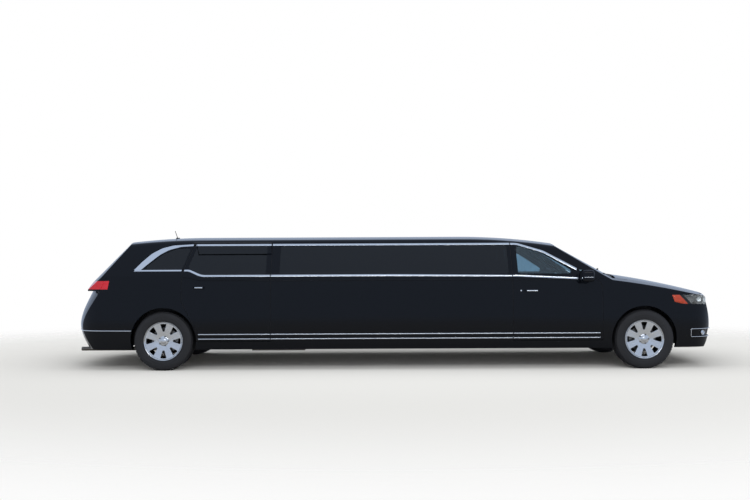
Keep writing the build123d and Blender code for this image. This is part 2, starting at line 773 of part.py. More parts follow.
with BuildPart() as liftgate:
    add(shell.part)
    add(gate_block, mode=Mode.INTERSECT)
    add(liftgate_lamp.part, mode=Mode.SUBTRACT)
    add(gate_hole, mode=Mode.SUBTRACT)
liftgate.part.label = "liftgate"
export_step(liftgate.part, "parts/liftgate.step")
with BuildPart() as liftgate_glass:
    add(gate_face)
    add(gate_back, mode=Mode.SUBTRACT)
    add(glass_top, mode=Mode.INTERSECT)
    add(gate_pane, mode=Mode.INTERSECT)
liftgate_glass.part.label = "liftgate_glass"
export_step(liftgate_glass.part, "parts/liftgate_glass.step")

# Windshield and the fixed side glass
screen_face = behind_screen(WINDSHIELD, GLASS_INSET)
screen_back = behind_screen(WINDSHIELD, GLASS_INSET + GLASS_THICK)
screen_pane = across(WINDSHIELD_HOLE, 1700, 3400, SCREEN_CORNER, -SEAT_GAP)
with BuildPart() as windshield:
    add(screen_face)
    add(screen_back, mode=Mode.SUBTRACT)
    add(glass_top, mode=Mode.INTERSECT)
    add(screen_pane, mode=Mode.INTERSECT)
windshield.part.label = "windshield"
export_step(windshield.part, "parts/windshield.step")
stretch_pane = pane_shape(STRETCH_WINDOW)
quarter_pane = pane_shape(QUARTER_WINDOW)
with BuildPart() as side_glass:
    add(stretch_pane)
    add(quarter_pane)
    mirror(stretch_pane, about=Plane.XZ)
    mirror(quarter_pane, about=Plane.XZ)
side_glass.part.label = "side_glass"
export_step(side_glass.part, "parts/side_glass.step")

# Hood
hood_block = hood_outline(0)
hood_space = hood_outline(DOOR_GAP)
with BuildPart() as hood:
    add(outer_lower.part)
    add(hood_under, mode=Mode.INTERSECT)
    add(hood_block, mode=Mode.INTERSECT)
hood.part.label = "hood"
export_step(hood.part, "parts/hood.step")

# Fenders, front bumper and headlamps share one front shell
front_region = slab(FENDER_X, NOSE_X + 50, -BODY_WIDTH, BODY_WIDTH, 0, 1400)
overlap_ring = lower_ring(FRONT_WALL - SEAT_GAP, low=100.0)
overlap_region = slab(FENDER_X, BAY_REAR_X, -BODY_WIDTH, BODY_WIDTH, 0, 1400)
front_arches = arch(FRONT_AXLE_X, ARCH_R, -1100, 1100)
cowl_room = slab(FENDER_X, 3000, -BULKHEAD_Y - 1, BULKHEAD_Y + 1, 0, 1400)
bumper_seat = prism(FRONT_BUMPER, -BODY_WIDTH, BODY_WIDTH, grow=SEAT_GAP)
bumper_block = prism(FRONT_BUMPER, -BODY_WIDTH, BODY_WIDTH)
lamp_hole = prism(HEADLAMP, -BODY_WIDTH, BODY_WIDTH)
lamp_body = prism(HEADLAMP, -BODY_WIDTH, BODY_WIDTH, grow=-SEAT_GAP)
LAMP_IN_Y = GRILLE_HOLE[1][0] + 6
lamp_gap = slab(3000, 4400, -LAMP_IN_Y, LAMP_IN_Y, 0, 1300)
lamp_stop = slab(3000, 4400, -LAMP_IN_Y - SEAT_GAP, LAMP_IN_Y + SEAT_GAP, 0, 1300)
grille_hole = across(GRILLE_HOLE, 3800, 4400, SCREEN_CORNER)
intake_hole = across(INTAKE_HOLE, 3800, 4400, 20)
fog_skin = lower_ring(FOG_RECESS["depth"], low=100.0)
fog_nose = behind_end(1, FOG_RECESS["depth"])
fog_block = slab(FOG_RECESS["x0"], FOG_RECESS["x1"], -HALF, HALF, FOG_RECESS["z0"], FOG_RECESS["z1"])
with BuildPart() as front_shell:
    add(shell.part)
    add(hood_top, mode=Mode.SUBTRACT)
    add(front_region, mode=Mode.INTERSECT)
with BuildPart() as overlap:
    add(overlap_ring)
    add(overlap_region, mode=Mode.INTERSECT)
with BuildPart() as lamp_space:
    add(lamp_hole)
    add(lamp_gap, mode=Mode.SUBTRACT)
with BuildPart() as fog_core:
    add(fog_skin)
    add(fog_nose, mode=Mode.INTERSECT)
with BuildPart() as fog_recess:
    add(fog_block)
    add(fog_core.part, mode=Mode.SUBTRACT)
with BuildPart() as front_fenders:
    add(front_shell.part)
    for cut in (overlap.part, bumper_seat, lamp_space.part, hood_space, front_arches, cowl_room):
        add(cut, mode=Mode.SUBTRACT)
front_fenders.part.label = "front_fenders"
export_step(front_fenders.part, "parts/front_fenders.step")
with BuildPart() as front_bumper:
    add(front_shell.part)
    add(bumper_block, mode=Mode.INTERSECT)
    for cut in (lamp_space.part, hood_space, front_arches, grille_hole, intake_hole, fog_recess.part):
        add(cut, mode=Mode.SUBTRACT)
front_bumper.part.label = "front_bumper"
export_step(front_bumper.part, "parts/front_bumper.step")
with BuildPart() as headlamps:
    add(front_shell.part)
    add(lamp_body, mode=Mode.INTERSECT)
    add(hood_space, mode=Mode.SUBTRACT)
    add(lamp_stop, mode=Mode.SUBTRACT)
headlamps.part.label = "headlamps"
export_step(headlamps.part, "parts/headlamps.step")

# Rear bumper and tail lamps
rear_block = prism(REAR_BUMPER, -BODY_WIDTH, BODY_WIDTH, grow=-SEAT_GAP)
rear_arches = arch(REAR_AXLE_X, ARCH_R, -1100, 1100)
tail_block = prism(TAIL_LAMP, -BODY_WIDTH, BODY_WIDTH, grow=-SEAT_GAP)
with BuildPart() as rear_bumper:
    add(shell.part)
    add(rear_block, mode=Mode.INTERSECT)
    add(rear_arches, mode=Mode.SUBTRACT)
rear_bumper.part.label = "rear_bumper"
export_step(rear_bumper.part, "parts/rear_bumper.step")
with BuildPart() as tail_lamps:
    add(shell.part)
    add(tail_block, mode=Mode.INTERSECT)
    add(gate_space, mode=Mode.SUBTRACT)
tail_lamps.part.label = "tail_lamps"
export_step(tail_lamps.part, "parts/tail_lamps.step")

# Grille: a border with upright and long bars between
grille_face = behind_end(1, GRILLE_INSET)
grille_back = behind_end(1, GRILLE_INSET + GRILLE_DEPTH)
grille_block = across(GRILLE_HOLE, 3800, 4400, SCREEN_CORNER, -SEAT_GAP)
grille_inner = across(GRILLE_HOLE, 3800, 4400, SCREEN_CORNER, -GRILLE_BORDER)
with BuildPart() as grille_layer:
    add(grille_face)
    add(grille_back, mode=Mode.SUBTRACT)
    add(grille_block, mode=Mode.INTERSECT)
with BuildPart() as grille_bars:
    with BuildSketch(Plane.YZ.offset(3900)):
        with Locations([((i - GRILLE_COUNT // 2) * GRILLE_PITCH, GRILLE_RAILS[1]) for i in range(GRILLE_COUNT)]):
            Rectangle(GRILLE_BAR, 300)
        with Locations([(0, z) for z in GRILLE_RAILS]):
            Rectangle(1080, GRILLE_RAIL_HEIGHT)
    extrude(amount=300)
with BuildPart() as grille_holes:
    add(grille_inner)
    add(grille_bars.part, mode=Mode.SUBTRACT)
with BuildPart() as grille:
    add(grille_layer.part)
    add(grille_holes.part, mode=Mode.SUBTRACT)
grille.part.label = "grille"
export_step(grille.part, "parts/grille.step")

# Bulkhead: firewall, cowl and the tray between them
TUNNEL_Y = 85.0
firewall_block = slab(
    CABIN_FRONT_X + SEAT_GAP, BAY_REAR_X, -BULKHEAD_Y, BULKHEAD_Y, SILL_HEIGHT + 40, COWL_Z - 59
)
cowl_block = slab(CABIN_FRONT_X + SEAT_GAP, 2999, -BULKHEAD_Y, BULKHEAD_Y, COWL_Z - 60, 1197)
cowl_space = hood_outline(COWL_GAP)
tunnel_hole = slab(CABIN_FRONT_X, BAY_REAR_X, -TUNNEL_Y, TUNNEL_Y, 0, 395)
tray = slab(BAY_REAR_X - 10, 2900, -700, 700, 1078, COWL_Z - 60)
with BuildPart() as cowl:
    add(shell.part)
    add(cowl_block, mode=Mode.INTERSECT)
    add(cowl_space, mode=Mode.SUBTRACT)
    add(screen_cut, mode=Mode.SUBTRACT)
with BuildPart() as bulkhead:
    add(shell.part)
    add(firewall_block, mode=Mode.INTERSECT)
    add(tunnel_hole, mode=Mode.SUBTRACT)
    add(cowl.part)
    add(tray)
bulkhead.part.label = "bulkhead"
export_step(bulkhead.part, "parts/bulkhead.step")

# Floor: plate, raised luggage floor, tunnel and rear wheel houses
FLOOR_Z = 300.0
FLOOR_THICK = 28.0
FLOOR_TOP = FLOOR_Z + FLOOR_THICK + SEAT_GAP
LUGGAGE_Z = 470.0
HOUSE_R = ARCH_R + 22
HOUSE_WALL = 6.0
HOUSE_IN_Y = 640.0
STEP_X = REAR_AXLE_X + HOUSE_R + 10
TUNNEL_WALL_Y = 110.0
TUNNEL_HEIGHT = 120.0


def wheel_house(axle_x, in_y):
    """Left-hand inner arch: an open drum over the wheel, closed inboard."""
    outer = arch(axle_x, HOUSE_R, in_y, HALF)
    inner = arch(axle_x, HOUSE_R - HOUSE_WALL, in_y + HOUSE_WALL, HALF + 1)
    below = slab(axle_x - 600, axle_x + 600, in_y - 1, HALF + 1, 0, FLOOR_Z)
    with BuildPart() as drum:
        add(outer)
        add(inner, mode=Mode.SUBTRACT)
        add(below, mode=Mode.SUBTRACT)
    return drum.part


FLOOR_PLATES = (
    (STEP_X, CABIN_FRONT_X, -HALF, HALF, FLOOR_Z, FLOOR_Z + FLOOR_THICK),
    (TAIL_X, STEP_X, -HOUSE_IN_Y, HOUSE_IN_Y, LUGGAGE_Z - FLOOR_THICK, LUGGAGE_Z),
    (STEP_X - FLOOR_THICK, STEP_X, -HALF, HALF, FLOOR_Z, LUGGAGE_Z),
    (STEP_X, CABIN_FRONT_X, -TUNNEL_WALL_Y, TUNNEL_WALL_Y, FLOOR_Z, FLOOR_Z + TUNNEL_HEIGHT),
)
floor_plates = [slab(*limits) for limits in FLOOR_PLATES]
tunnel = slab(STEP_X - FLOOR_THICK - 1, CABIN_FRONT_X, -TUNNEL_Y, TUNNEL_Y, 0, FLOOR_Z + 95)
rear_house = wheel_house(REAR_AXLE_X, HOUSE_IN_Y)
floor_ring = lower_ring(LOWER_WALL + SEAT_GAP, low=100.0)
floor_tail = behind_end(-1, END_WALL + SEAT_GAP)
with BuildPart() as floor_pan:
    for plate in floor_plates:
        add(plate)
    add(tunnel, mode=Mode.SUBTRACT)
    add(rear_house)
    mirror(rear_house, about=Plane.XZ)
    add(floor_ring, mode=Mode.INTERSECT)
    add(floor_tail, mode=Mode.INTERSECT)
floor_pan.part.label = "floor_pan"
export_step(floor_pan.part, "parts/floor_pan.step")

# Front frame: rails, inner arches, radiator support and beam with a towing eye socket
RAIL_Y = 430.0
TOW_Y = -330.0
TOW_Z = 430.0
TOW_BORE_R = 9.0
front_house = wheel_house(FRONT_AXLE_X, RAIL_Y + 60)
rail_block = slab(BAY_REAR_X + 0.5, 4040, RAIL_Y - 40, RAIL_Y + 40, 430, 530)
tower_block = slab(3000, 3320, RAIL_Y + 30, RAIL_Y + 65, 440, 600)
support_hole = slab(3890, 3940, 60 - RAIL_Y, RAIL_Y - 60, 350, 800)
support_block = slab(3900, 3930, -RAIL_Y, RAIL_Y, 300, 860)
beam_block = slab(3985, 4060, -640, 640, 395, 475)
frame_ring = lower_ring(FRONT_WALL + SEAT_GAP, low=100.0)
frame_nose = behind_end(1, FRONT_WALL + SEAT_GAP)
frame_length = slab(BAY_REAR_X + SEAT_GAP, NOSE_X, -HALF, HALF, 0, 1300)
with BuildPart() as support:
    add(support_block)
    add(support_hole, mode=Mode.SUBTRACT)
with BuildPart() as front_frame:
    for piece in (rail_block, front_house, tower_block):
        add(piece)
        mirror(piece, about=Plane.XZ)
    add(support.part)
    add(beam_block)
    add(frame_ring, mode=Mode.INTERSECT)
    add(frame_nose, mode=Mode.INTERSECT)
    add(frame_length, mode=Mode.INTERSECT)
    with Locations((4030, TOW_Y, TOW_Z)):
        Cylinder(TOW_BORE_R, 260, rotation=(0, 90, 0), mode=Mode.SUBTRACT)
front_frame.part.label = "front_frame"
export_step(front_frame.part, "parts/front_frame.step")


# Wheels: tyre, rim with spokes, disc and hub
def tyre_shape(axle_x):
    """Left-hand tyre turned about the wheel axis."""
    half = TYRE_W / 2
    bead = RIM_W / 2 - 9
    bulge = (TYRE_R + RIM_R) / 2 + 5
    across_wheel = Plane(origin=(axle_x, WHEEL_Y, TYRE_R), x_dir=(0, 1, 0), z_dir=(1, 0, 0))
    with BuildPart() as tyre:
        with BuildSketch(across_wheel):
            with BuildLine():
                tread = ThreePointArc((half - 22, TYRE_R - 6), (0, TYRE_R), (22 - half, TYRE_R - 6))
                inner = ThreePointArc(tread @ 1, (-half, bulge), (-bead, RIM_R + 2))
                Polyline(inner @ 1, (-bead, RIM_R - 3), (bead, RIM_R - 3), (bead, RIM_R + 2))
                ThreePointArc((bead, RIM_R + 2), (half, bulge), tread @ 0)
            make_face()
        revolve(axis=Axis((axle_x, 0, TYRE_R), (0, 1, 0)))
    return tyre.part


def wheel_shape(axle_x):
    """Left-hand wheel: rim, spokes, brake disc and hub. Outboard is +Y."""
    w = RIM_W / 2
    axis = Axis((axle_x, 0, TYRE_R), (0, 1, 0))
    across_wheel = Plane(origin=(axle_x, WHEEL_Y, TYRE_R), x_dir=(0, 1, 0), z_dir=(1, 0, 0))
    spoke_plane = Plane(origin=(axle_x, WHEEL_Y + 30, TYRE_R), x_dir=(1, 0, 0), z_dir=(0, 1, 0))
    disc_plane = Plane(origin=(axle_x, WHEEL_Y - 6, TYRE_R), x_dir=(1, 0, 0), z_dir=(0, 1, 0))
    bore_plane = Plane(origin=(axle_x, WHEEL_Y - 7, TYRE_R), x_dir=(1, 0, 0), z_dir=(0, 1, 0))
    with BuildPart() as wheel:
        with BuildSketch(across_wheel):
            with BuildLine():
                Polyline(
                    (-w, RIM_R),
                    (-w + 8, RIM_R),
                    (-w + 8, RIM_R - 3.3),
                    (w - 8, RIM_R - 3.3),
                    (w - 8, RIM_R),
                    (w, RIM_R),
                    (w, RIM_R - 9),
                    (w - 22, RIM_R - 20),
                    (w - 30, RIM_R - 22),
                    (-w, RIM_R - 22),
                    close=True,
                )
            make_face()
        revolve(axis=axis)
        with BuildSketch(across_wheel):
            with BuildLine():
                Polyline(
                    (42, 0),
                    (42, 60),
                    (62, 150),
                    (66, RIM_R - 21),
                    (86, RIM_R - 21),
                    (90, 150),
                    (78, 60),
                    (78, 42),
                    (86, 38),
                    (88, 0),
                    close=True,
                )
            make_face()
        revolve(axis=axis)
        with BuildSketch(spoke_plane):
            with PolarLocations(0, SPOKE_COUNT):
                Polygon((115, -20), (208, -42), (208, 42), (115, 20), align=None)
        extrude(amount=80, mode=Mode.SUBTRACT)
        with BuildSketch(disc_plane):
            Circle(158)
        extrude(amount=24)
        with BuildSketch(disc_plane):
            Circle(52)
        extrude(amount=50)
        with BuildSketch(bore_plane):
            Circle(HUB_BORE_R)
        extrude(amount=60, mode=Mode.SUBTRACT)
    return wheel.part


AXLES = (("front", FRONT_AXLE_X), ("rear", REAR_AXLE_X))
for place, axle_x in AXLES:
    tyre_left = tyre_shape(axle_x)
    wheel_left = wheel_shape(axle_x)
    with BuildPart() as tyre:
        add(tyre_left)
    tyre.part.label = f"tyre_{place}_left"
    export_step(tyre.part, f"parts/tyre_{place}_left.step")
    with BuildPart() as tyre:
        mirror(tyre_left, about=Plane.XZ)
    tyre.part.label = f"tyre_{place}_right"
    export_step(tyre.part, f"parts/tyre_{place}_right.step")
    with BuildPart() as wheel:
        add(wheel_left)
    wheel.part.label = f"wheel_{place}_left"
    export_step(wheel.part, f"parts/wheel_{place}_left.step")
    with BuildPart() as wheel:
        mirror(wheel_left, about=Plane.XZ)
    wheel.part.label = f"wheel_{place}_right"
    export_step(wheel.part, f"parts/wheel_{place}_right.step")

# Uprights seen from the end: kingpin with bosses, spindle and caliper
BALL_LOW_Z = 200.0
BALL_HIGH_Z = 545.0
ARM_THICK = 22.0
ARM_REACH_Y = STEER_Y + 20


def upright_shape(axle_x):
    """Left-hand upright with its spindle and brake caliper."""
    with BuildPart() as upright:
        with Locations((axle_x, STEER_Y, (BALL_LOW_Z + BALL_HIGH_Z) / 2)):
            Cylinder(20, BALL_HIGH_Z - BALL_LOW_Z)
        with Locations((axle_x, STEER_Y + 4, TYRE_R)):
            Cylinder(50, 46, rotation=(90, 0, 0))
        with Locations((axle_x, STEER_Y + 43, TYRE_R)):
            Cylinder(SPINDLE_R, 86, rotation=(90, 0, 0))
        with Locations((axle_x - 150, STEER_Y + 14, TYRE_R)):
            Box(60, 24, 120)
        with Locations((axle_x - 80, STEER_Y + 12, TYRE_R)):
            Box(120, 20, 60)
    return upright.part


front_upright = upright_shape(FRONT_AXLE_X)
rear_upright = upright_shape(REAR_AXLE_X)
with BuildPart() as knuckle_left:
    add(front_upright)
knuckle_left.part.label = "knuckle_left"
export_step(knuckle_left.part, "parts/knuckle_left.step")
with BuildPart() as knuckle_right:
    mirror(front_upright, about=Plane.XZ)
knuckle_right.part.label = "knuckle_right"
export_step(knuckle_right.part, "parts/knuckle_right.step")

# Front and rear suspension frames with their arms
SUBFRAME_Y = 330.0
ARM_KNEE_Y = 600.0
SUB_LOW_Z = 160.0
SUB_TOP_Z = 240.0


def arm_shape(axle_x, z, in_y, spread):
    """Left-hand control arm: a flat triangle from the subframe to its ball joint."""
    with BuildPart() as plate:
        with BuildSketch(Plane.XY.offset(z)):
            with BuildLine():
                Polyline(
                    (axle_x - spread, in_y),
                    (axle_x - 28, ARM_KNEE_Y),
                    (axle_x - 22, ARM_REACH_Y),
                    (axle_x + 22, ARM_REACH_Y),
                    (axle_x + 28, ARM_KNEE_Y),
                    (axle_x + spread, in_y),
                    close=True,
                )
            make_face()
        extrude(amount=ARM_THICK)
    return plate.part


front_side = [
    arm_shape(FRONT_AXLE_X, BALL_LOW_Z - ARM_THICK - SEAT_GAP, SUBFRAME_Y, 170),
    arm_shape(FRONT_AXLE_X, BALL_HIGH_Z + SEAT_GAP, RAIL_Y + 66 + SEAT_GAP, 60),
    slab(FRONT_AXLE_X - 200, FRONT_AXLE_X + 200, SUBFRAME_Y - 60, SUBFRAME_Y + 1, SUB_LOW_Z, SUB_TOP_Z),
]
rear_side = [
    arm_shape(REAR_AXLE_X, BALL_LOW_Z - ARM_THICK, SUBFRAME_Y, 200),
    rear_upright,
    slab(
        REAR_AXLE_X - 25,
        REAR_AXLE_X + 25,
        HOUSE_IN_Y + HOUSE_WALL + SEAT_GAP,
        STEER_Y,
        BALL_HIGH_Z - ARM_THICK,
        BALL_HIGH_Z,
    ),
    slab(REAR_AXLE_X - 220, REAR_AXLE_X + 220, SUBFRAME_Y - 60, SUBFRAME_Y + 1, SUB_LOW_Z, SUB_TOP_Z),
]
front_bridge = slab(FRONT_AXLE_X - 60, FRONT_AXLE_X + 60, -SUBFRAME_Y, SUBFRAME_Y, 180, SUB_TOP_Z)
rear_bridge = slab(REAR_AXLE_X - 90, REAR_AXLE_X + 90, -SUBFRAME_Y, SUBFRAME_Y, 180, 380)
with BuildPart() as front_subframe:
    for piece in front_side:
        add(piece)
        mirror(piece, about=Plane.XZ)
    add(front_bridge)
front_subframe.part.label = "front_subframe"
export_step(front_subframe.part, "parts/front_subframe.step")
with BuildPart() as rear_subframe:
    for piece in rear_side:
        add(piece)
        mirror(piece, about=Plane.XZ)
    add(rear_bridge)
rear_subframe.part.label = "rear_subframe"
export_step(rear_subframe.part, "parts/rear_subframe.step")

# Engine, driveshaft, exhaust and tank
ENGINE_REAR_X = 2880.0
ENGINE_FRONT_X = 3760.0
ENGINE = ((190, 300), (240, 470), (330, 560), (330, 800), (250, 900))
engine = across(ENGINE, ENGINE_REAR_X, ENGINE_FRONT_X, 25)
with BuildPart() as engine_block:
    add(engine)
engine_block.part.label = "engine_block"
export_step(engine_block.part, "parts/engine_block.step")
SHAFT_START_X = REAR_AXLE_X + 90 + SEAT_GAP
SHAFT_END_X = ENGINE_REAR_X - SEAT_GAP
with BuildPart() as driveshaft:
    with Locations(((SHAFT_START_X + SHAFT_END_X) / 2, 0, 330)):
        Cylinder(36, SHAFT_END_X - SHAFT_START_X, rotation=(0, 90, 0))
driveshaft.part.label = "driveshaft"
export_step(driveshaft.part, "parts/driveshaft.step")
PIPE_R = 26.0
PIPE_Z = 228.0
PIPE_Y = -300.0
PIPE_BEND_R = 280.0
PIPE_BEND_A = 43.0
MUFFLER_LOW_Z = 190.0
with BuildPart() as exhaust_system:
    with BuildLine(Plane.XY.offset(PIPE_Z)):
        run = Line((2400, PIPE_Y), (-2200, PIPE_Y))
        out = JernArc(run @ 1, run % 1, PIPE_BEND_R, PIPE_BEND_A)
        back = JernArc(out @ 1, out % 1, PIPE_BEND_R, -PIPE_BEND_A)
        Line(back @ 1, (TAIL_X + 75, (back @ 1).Y))
    with BuildSketch(Plane(origin=(2400, PIPE_Y, PIPE_Z), x_dir=(0, 1, 0), z_dir=(-1, 0, 0))):
        Circle(PIPE_R)
    sweep()
    with Locations((-1500, PIPE_Y, (MUFFLER_LOW_Z + FLOOR_Z - SEAT_GAP) / 2)):
        Box(700, 240, FLOOR_Z - SEAT_GAP - MUFFLER_LOW_Z)
exhaust_system.part.label = "exhaust_system"
export_step(exhaust_system.part, "parts/exhaust_system.step")
tank = slab(-2200, -1300, 150, 700, 215, FLOOR_Z - SEAT_GAP)
with BuildPart() as fuel_tank:
    add(tank)
    fillet(fuel_tank.edges().filter_by(Axis.Z), 60)
fuel_tank.part.label = "fuel_tank"
export_step(fuel_tank.part, "parts/fuel_tank.step")

# Front seats, lounge and bar
SEAT_TOP = 620.0
SEAT_CORNER = 18.0
CUSHION = SEAT_TOP - FLOOR_TOP
SEAT_SIDE = ((0, 0), (520, 0), (560, CUSHION - 20), (540, CUSHION), (90, CUSHION - 30))
FRONT_BACK = ((-120, 980), (-210, 980), (-90, 180))
BENCH_BACK = ((-60, 800), (-150, 800), (-90, 180))
front_seat = prism([(1660 + x, FLOOR_TOP + z) for x, z in SEAT_SIDE + FRONT_BACK], 130, 650, SEAT_CORNER)
rear_bench = prism(
    [(STEP_X + 100 + x, FLOOR_TOP + z) for x, z in SEAT_SIDE + BENCH_BACK], -780, 780, SEAT_CORNER
)
bench_gap = slab(STEP_X - 200, STEP_X + 900, -TUNNEL_WALL_Y - 2, TUNNEL_WALL_Y + 2, 0, FLOOR_Z + 122)
with BuildPart() as front_seats:
    add(front_seat)
    mirror(front_seat, about=Plane.XZ)
front_seats.part.label = "front_seats"
export_step(front_seats.part, "parts/front_seats.step")
with BuildPart() as side_bench:
    with BuildSketch(Plane.YZ.offset(-1350)) as bench_face:
        with BuildLine():
            Polyline(
                (360, FLOOR_TOP),
                (360, SEAT_TOP),
                (740, SEAT_TOP - 20),
                (790, 1060),
                (848, 1060),
                (848, FLOOR_TOP),
                close=True,
            )
        make_face()
        fillet(bench_face.vertices(), 15)
    extrude(amount=2300)
with BuildPart() as lounge_seats:
    add(rear_bench)
    add(bench_gap, mode=Mode.SUBTRACT)
    add(side_bench.part)
lounge_seats.part.label = "lounge_seats"
export_step(lounge_seats.part, "parts/lounge_seats.step")
bar = slab(-1300, 900, -848, -520, FLOOR_TOP, 960)
with BuildPart() as bar_console:
    add(bar)
bar_console.part.label = "bar_console"
export_step(bar_console.part, "parts/bar_console.step")

# Partition behind the driver
partition_house = house(UPPER_WALL + SEAT_GAP, ROOF_WALL + SEAT_GAP, END_WALL)
partition_top = slab(1390, 1430, -BODY_WIDTH, BODY_WIDTH, BELT_HEIGHT, 1800)
partition_base = slab(1390, 1430, -BODY_WIDTH, BODY_WIDTH, FLOOR_TOP, BELT_HEIGHT)
partition_foot = slab(1380, 1440, -TUNNEL_WALL_Y - 2, TUNNEL_WALL_Y + 2, FLOOR_TOP, FLOOR_Z + 122)
partition_window = slab(1380, 1440, -520, 520, 1140, 1520)
with BuildPart() as partition_upper:
    add(partition_house)
    add(partition_top, mode=Mode.INTERSECT)
with BuildPart() as partition:
    add(floor_ring)
    add(partition_base, mode=Mode.INTERSECT)
    add(partition_upper.part)
    add(partition_foot, mode=Mode.SUBTRACT)
    add(partition_window, mode=Mode.SUBTRACT)
partition.part.label = "partition"
export_step(partition.part, "parts/partition.step")

# Dashboard and steering wheel
DASH = ((2700, 640), (2700, 1090), (2560, 1120), (2330, 1080), (2290, 960), (2330, 780), (2480, 640))
DASH_Y = 830.0
dash = prism(DASH, -DASH_Y, DASH_Y, 25)
dash_space = prism(DASH, -DASH_Y, DASH_Y, 25, SEAT_GAP)
with BuildPart() as dashboard:
    add(dash)
dashboard.part.label = "dashboard"
export_step(dashboard.part, "parts/dashboard.step")
COLUMN_TILT = 25.0
tilt = Plane(
    origin=(2180, 370, 985), z_dir=(-math.cos(rad(COLUMN_TILT)), 0, math.sin(rad(COLUMN_TILT)))
)
with BuildPart() as steering_wheel:
    with BuildSketch(tilt):
        Circle(190)
        Circle(160, mode=Mode.SUBTRACT)
    extrude(amount=28)
    with BuildSketch(tilt):
        Rectangle(340, 60)
        Circle(70)
    extrude(amount=20)
    with BuildSketch(tilt):
        Circle(30)
    extrude(amount=-140)
    add(dash_space, mode=Mode.SUBTRACT)
steering_wheel.part.label = "steering_wheel"
export_step(steering_wheel.part, "parts/steering_wheel.step")
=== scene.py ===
"""Looks of the stretch limousine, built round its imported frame. Metres, +X forward, +Z up."""

import math
from collections import namedtuple
from functools import cache

import bmesh
import bpy
from mathutils import Matrix, Vector
from mathutils.bvhtree import BVHTree


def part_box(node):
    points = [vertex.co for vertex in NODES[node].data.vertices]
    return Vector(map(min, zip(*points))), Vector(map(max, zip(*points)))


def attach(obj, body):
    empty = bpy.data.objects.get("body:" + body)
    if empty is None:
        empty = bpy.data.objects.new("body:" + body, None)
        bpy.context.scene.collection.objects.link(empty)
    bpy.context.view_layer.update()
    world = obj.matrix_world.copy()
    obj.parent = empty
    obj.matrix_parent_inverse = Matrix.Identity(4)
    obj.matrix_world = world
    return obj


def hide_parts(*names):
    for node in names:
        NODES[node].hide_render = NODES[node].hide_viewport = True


bl_info = {
    "name": "Stretch limousine looks",
    "version": (1, 0, 0),
    "blender": (4, 5, 0),
    "location": "View3D > Sidebar > Limousine",
    "description": "Dresses the packed stretch limousine with finishes, tyres, wheels, trim, lamps and seats",
    "category": "Object",
}

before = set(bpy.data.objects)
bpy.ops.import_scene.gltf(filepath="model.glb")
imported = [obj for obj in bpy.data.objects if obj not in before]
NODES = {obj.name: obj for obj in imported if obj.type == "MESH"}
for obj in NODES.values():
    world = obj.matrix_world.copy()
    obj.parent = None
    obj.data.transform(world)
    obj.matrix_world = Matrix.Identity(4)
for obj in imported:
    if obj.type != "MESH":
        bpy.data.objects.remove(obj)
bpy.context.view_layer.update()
MM = 0.001
SIDES = (("left", 1), ("right", -1))
CORNERS = tuple((place, hand, side) for place in ("front", "rear") for hand, side in SIDES)


def both(*stems):
    """The left and the right name of each stem."""
    return tuple(f"{stem}_{hand}" for stem in stems for hand, _ in SIDES)


PANELS = (
    *both("body_side", "door_front", "door_rear"), "front_fenders", "front_bumper", "rear_bumper", "hood",
    "liftgate", "roof_panel", "headlamps", "tail_lamps",
)
# Half widths in metres: where a ray across the car starts, the least at which it still meets skin, and
# the one taken where it passes through a gap, which is not the real width there
RAY_START = 1.6
SKIN_LEAST = 0.3
GAP_WIDTH = 0.9
# Corner radius of the bright bands in side view
BAND_CORNER = 0.25


# Small tools


def linear(code):
    """A hex colour such as #1a2b3c as linear RGBA."""
    parts = [int(code[i:i + 2], 16) / 255 for i in (1, 3, 5)]
    return [p / 12.92 if p <= 0.04045 else ((p + 0.055) / 1.055) ** 2.4 for p in parts] + [1.0]


def add(tree, kind, inputs=None, **settings):
    """Add a node with its settings; an input takes a value or another node's socket."""
    node = tree.nodes.new(kind)
    for key, value in settings.items():
        setattr(node, key, value)
    for key, value in (inputs or {}).items():
        if isinstance(value, bpy.types.NodeSocket):
            tree.links.new(value, node.inputs[key])
        else:
            node.inputs[key].default_value = value
    return node


def compute(tree, operation, *values):
    """The result of one sum of numbers or sockets."""
    return add(tree, "ShaderNodeMath", dict(enumerate(values)), operation=operation).outputs[0]


def blend(tree, share, first, second):
    """Two shaders mixed by a share from 0 to 1."""
    return add(tree, "ShaderNodeMixShader", {0: share, 1: first, 2: second}).outputs[0]


def cleared(holder):
    """The node tree of a material or world, emptied."""
    holder.use_nodes = True
    holder.node_tree.nodes.clear()
    return holder.node_tree


def middle(node):
    """The middle of a CAD node's box."""
    low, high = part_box(node)
    return (low + high) / 2


def new_mesh(name, bm, sharp=35.0):
    """Turn a bmesh into an object with smooth faces that break at sharp edges."""
    bmesh.ops.remove_doubles(bm, verts=bm.verts[:], dist=1e-6)
    bmesh.ops.recalc_face_normals(bm, faces=bm.faces[:])
    mesh = bpy.data.meshes.new(name)
    bm.to_mesh(mesh)
    bm.free()
    mesh.shade_smooth()
    mesh.set_sharp_from_angle(angle=math.radians(sharp))
    obj = bpy.data.objects.new(name, mesh)
    bpy.context.scene.collection.objects.link(obj)
    return obj


def evaluated(obj):
    """Apply an object's modifiers and give it back as a plain mesh object."""
    bpy.context.view_layer.update()
    graph = bpy.context.evaluated_depsgraph_get()
    mesh = bpy.data.meshes.new_from_object(obj.evaluated_get(graph))
    plain = bpy.data.objects.new(obj.name + "_made", mesh)
    bpy.context.scene.collection.objects.link(plain)
    name = obj.name
    bpy.data.objects.remove(obj)
    plain.name = name
    return plain


def run_tree(obj, tree, values):
    """Run a node tree on an object with named inputs and return the plain mesh object."""
    modifier = obj.modifiers.new(tree.name, "NODES")
    modifier.node_group = tree
    sockets = {s.name: s.identifier for s in tree.interface.items_tree if s.in_out == "INPUT"}
    for key, value in values.items():
        modifier[sockets[key]] = value
    return paint(evaluated(obj), values["Material"])


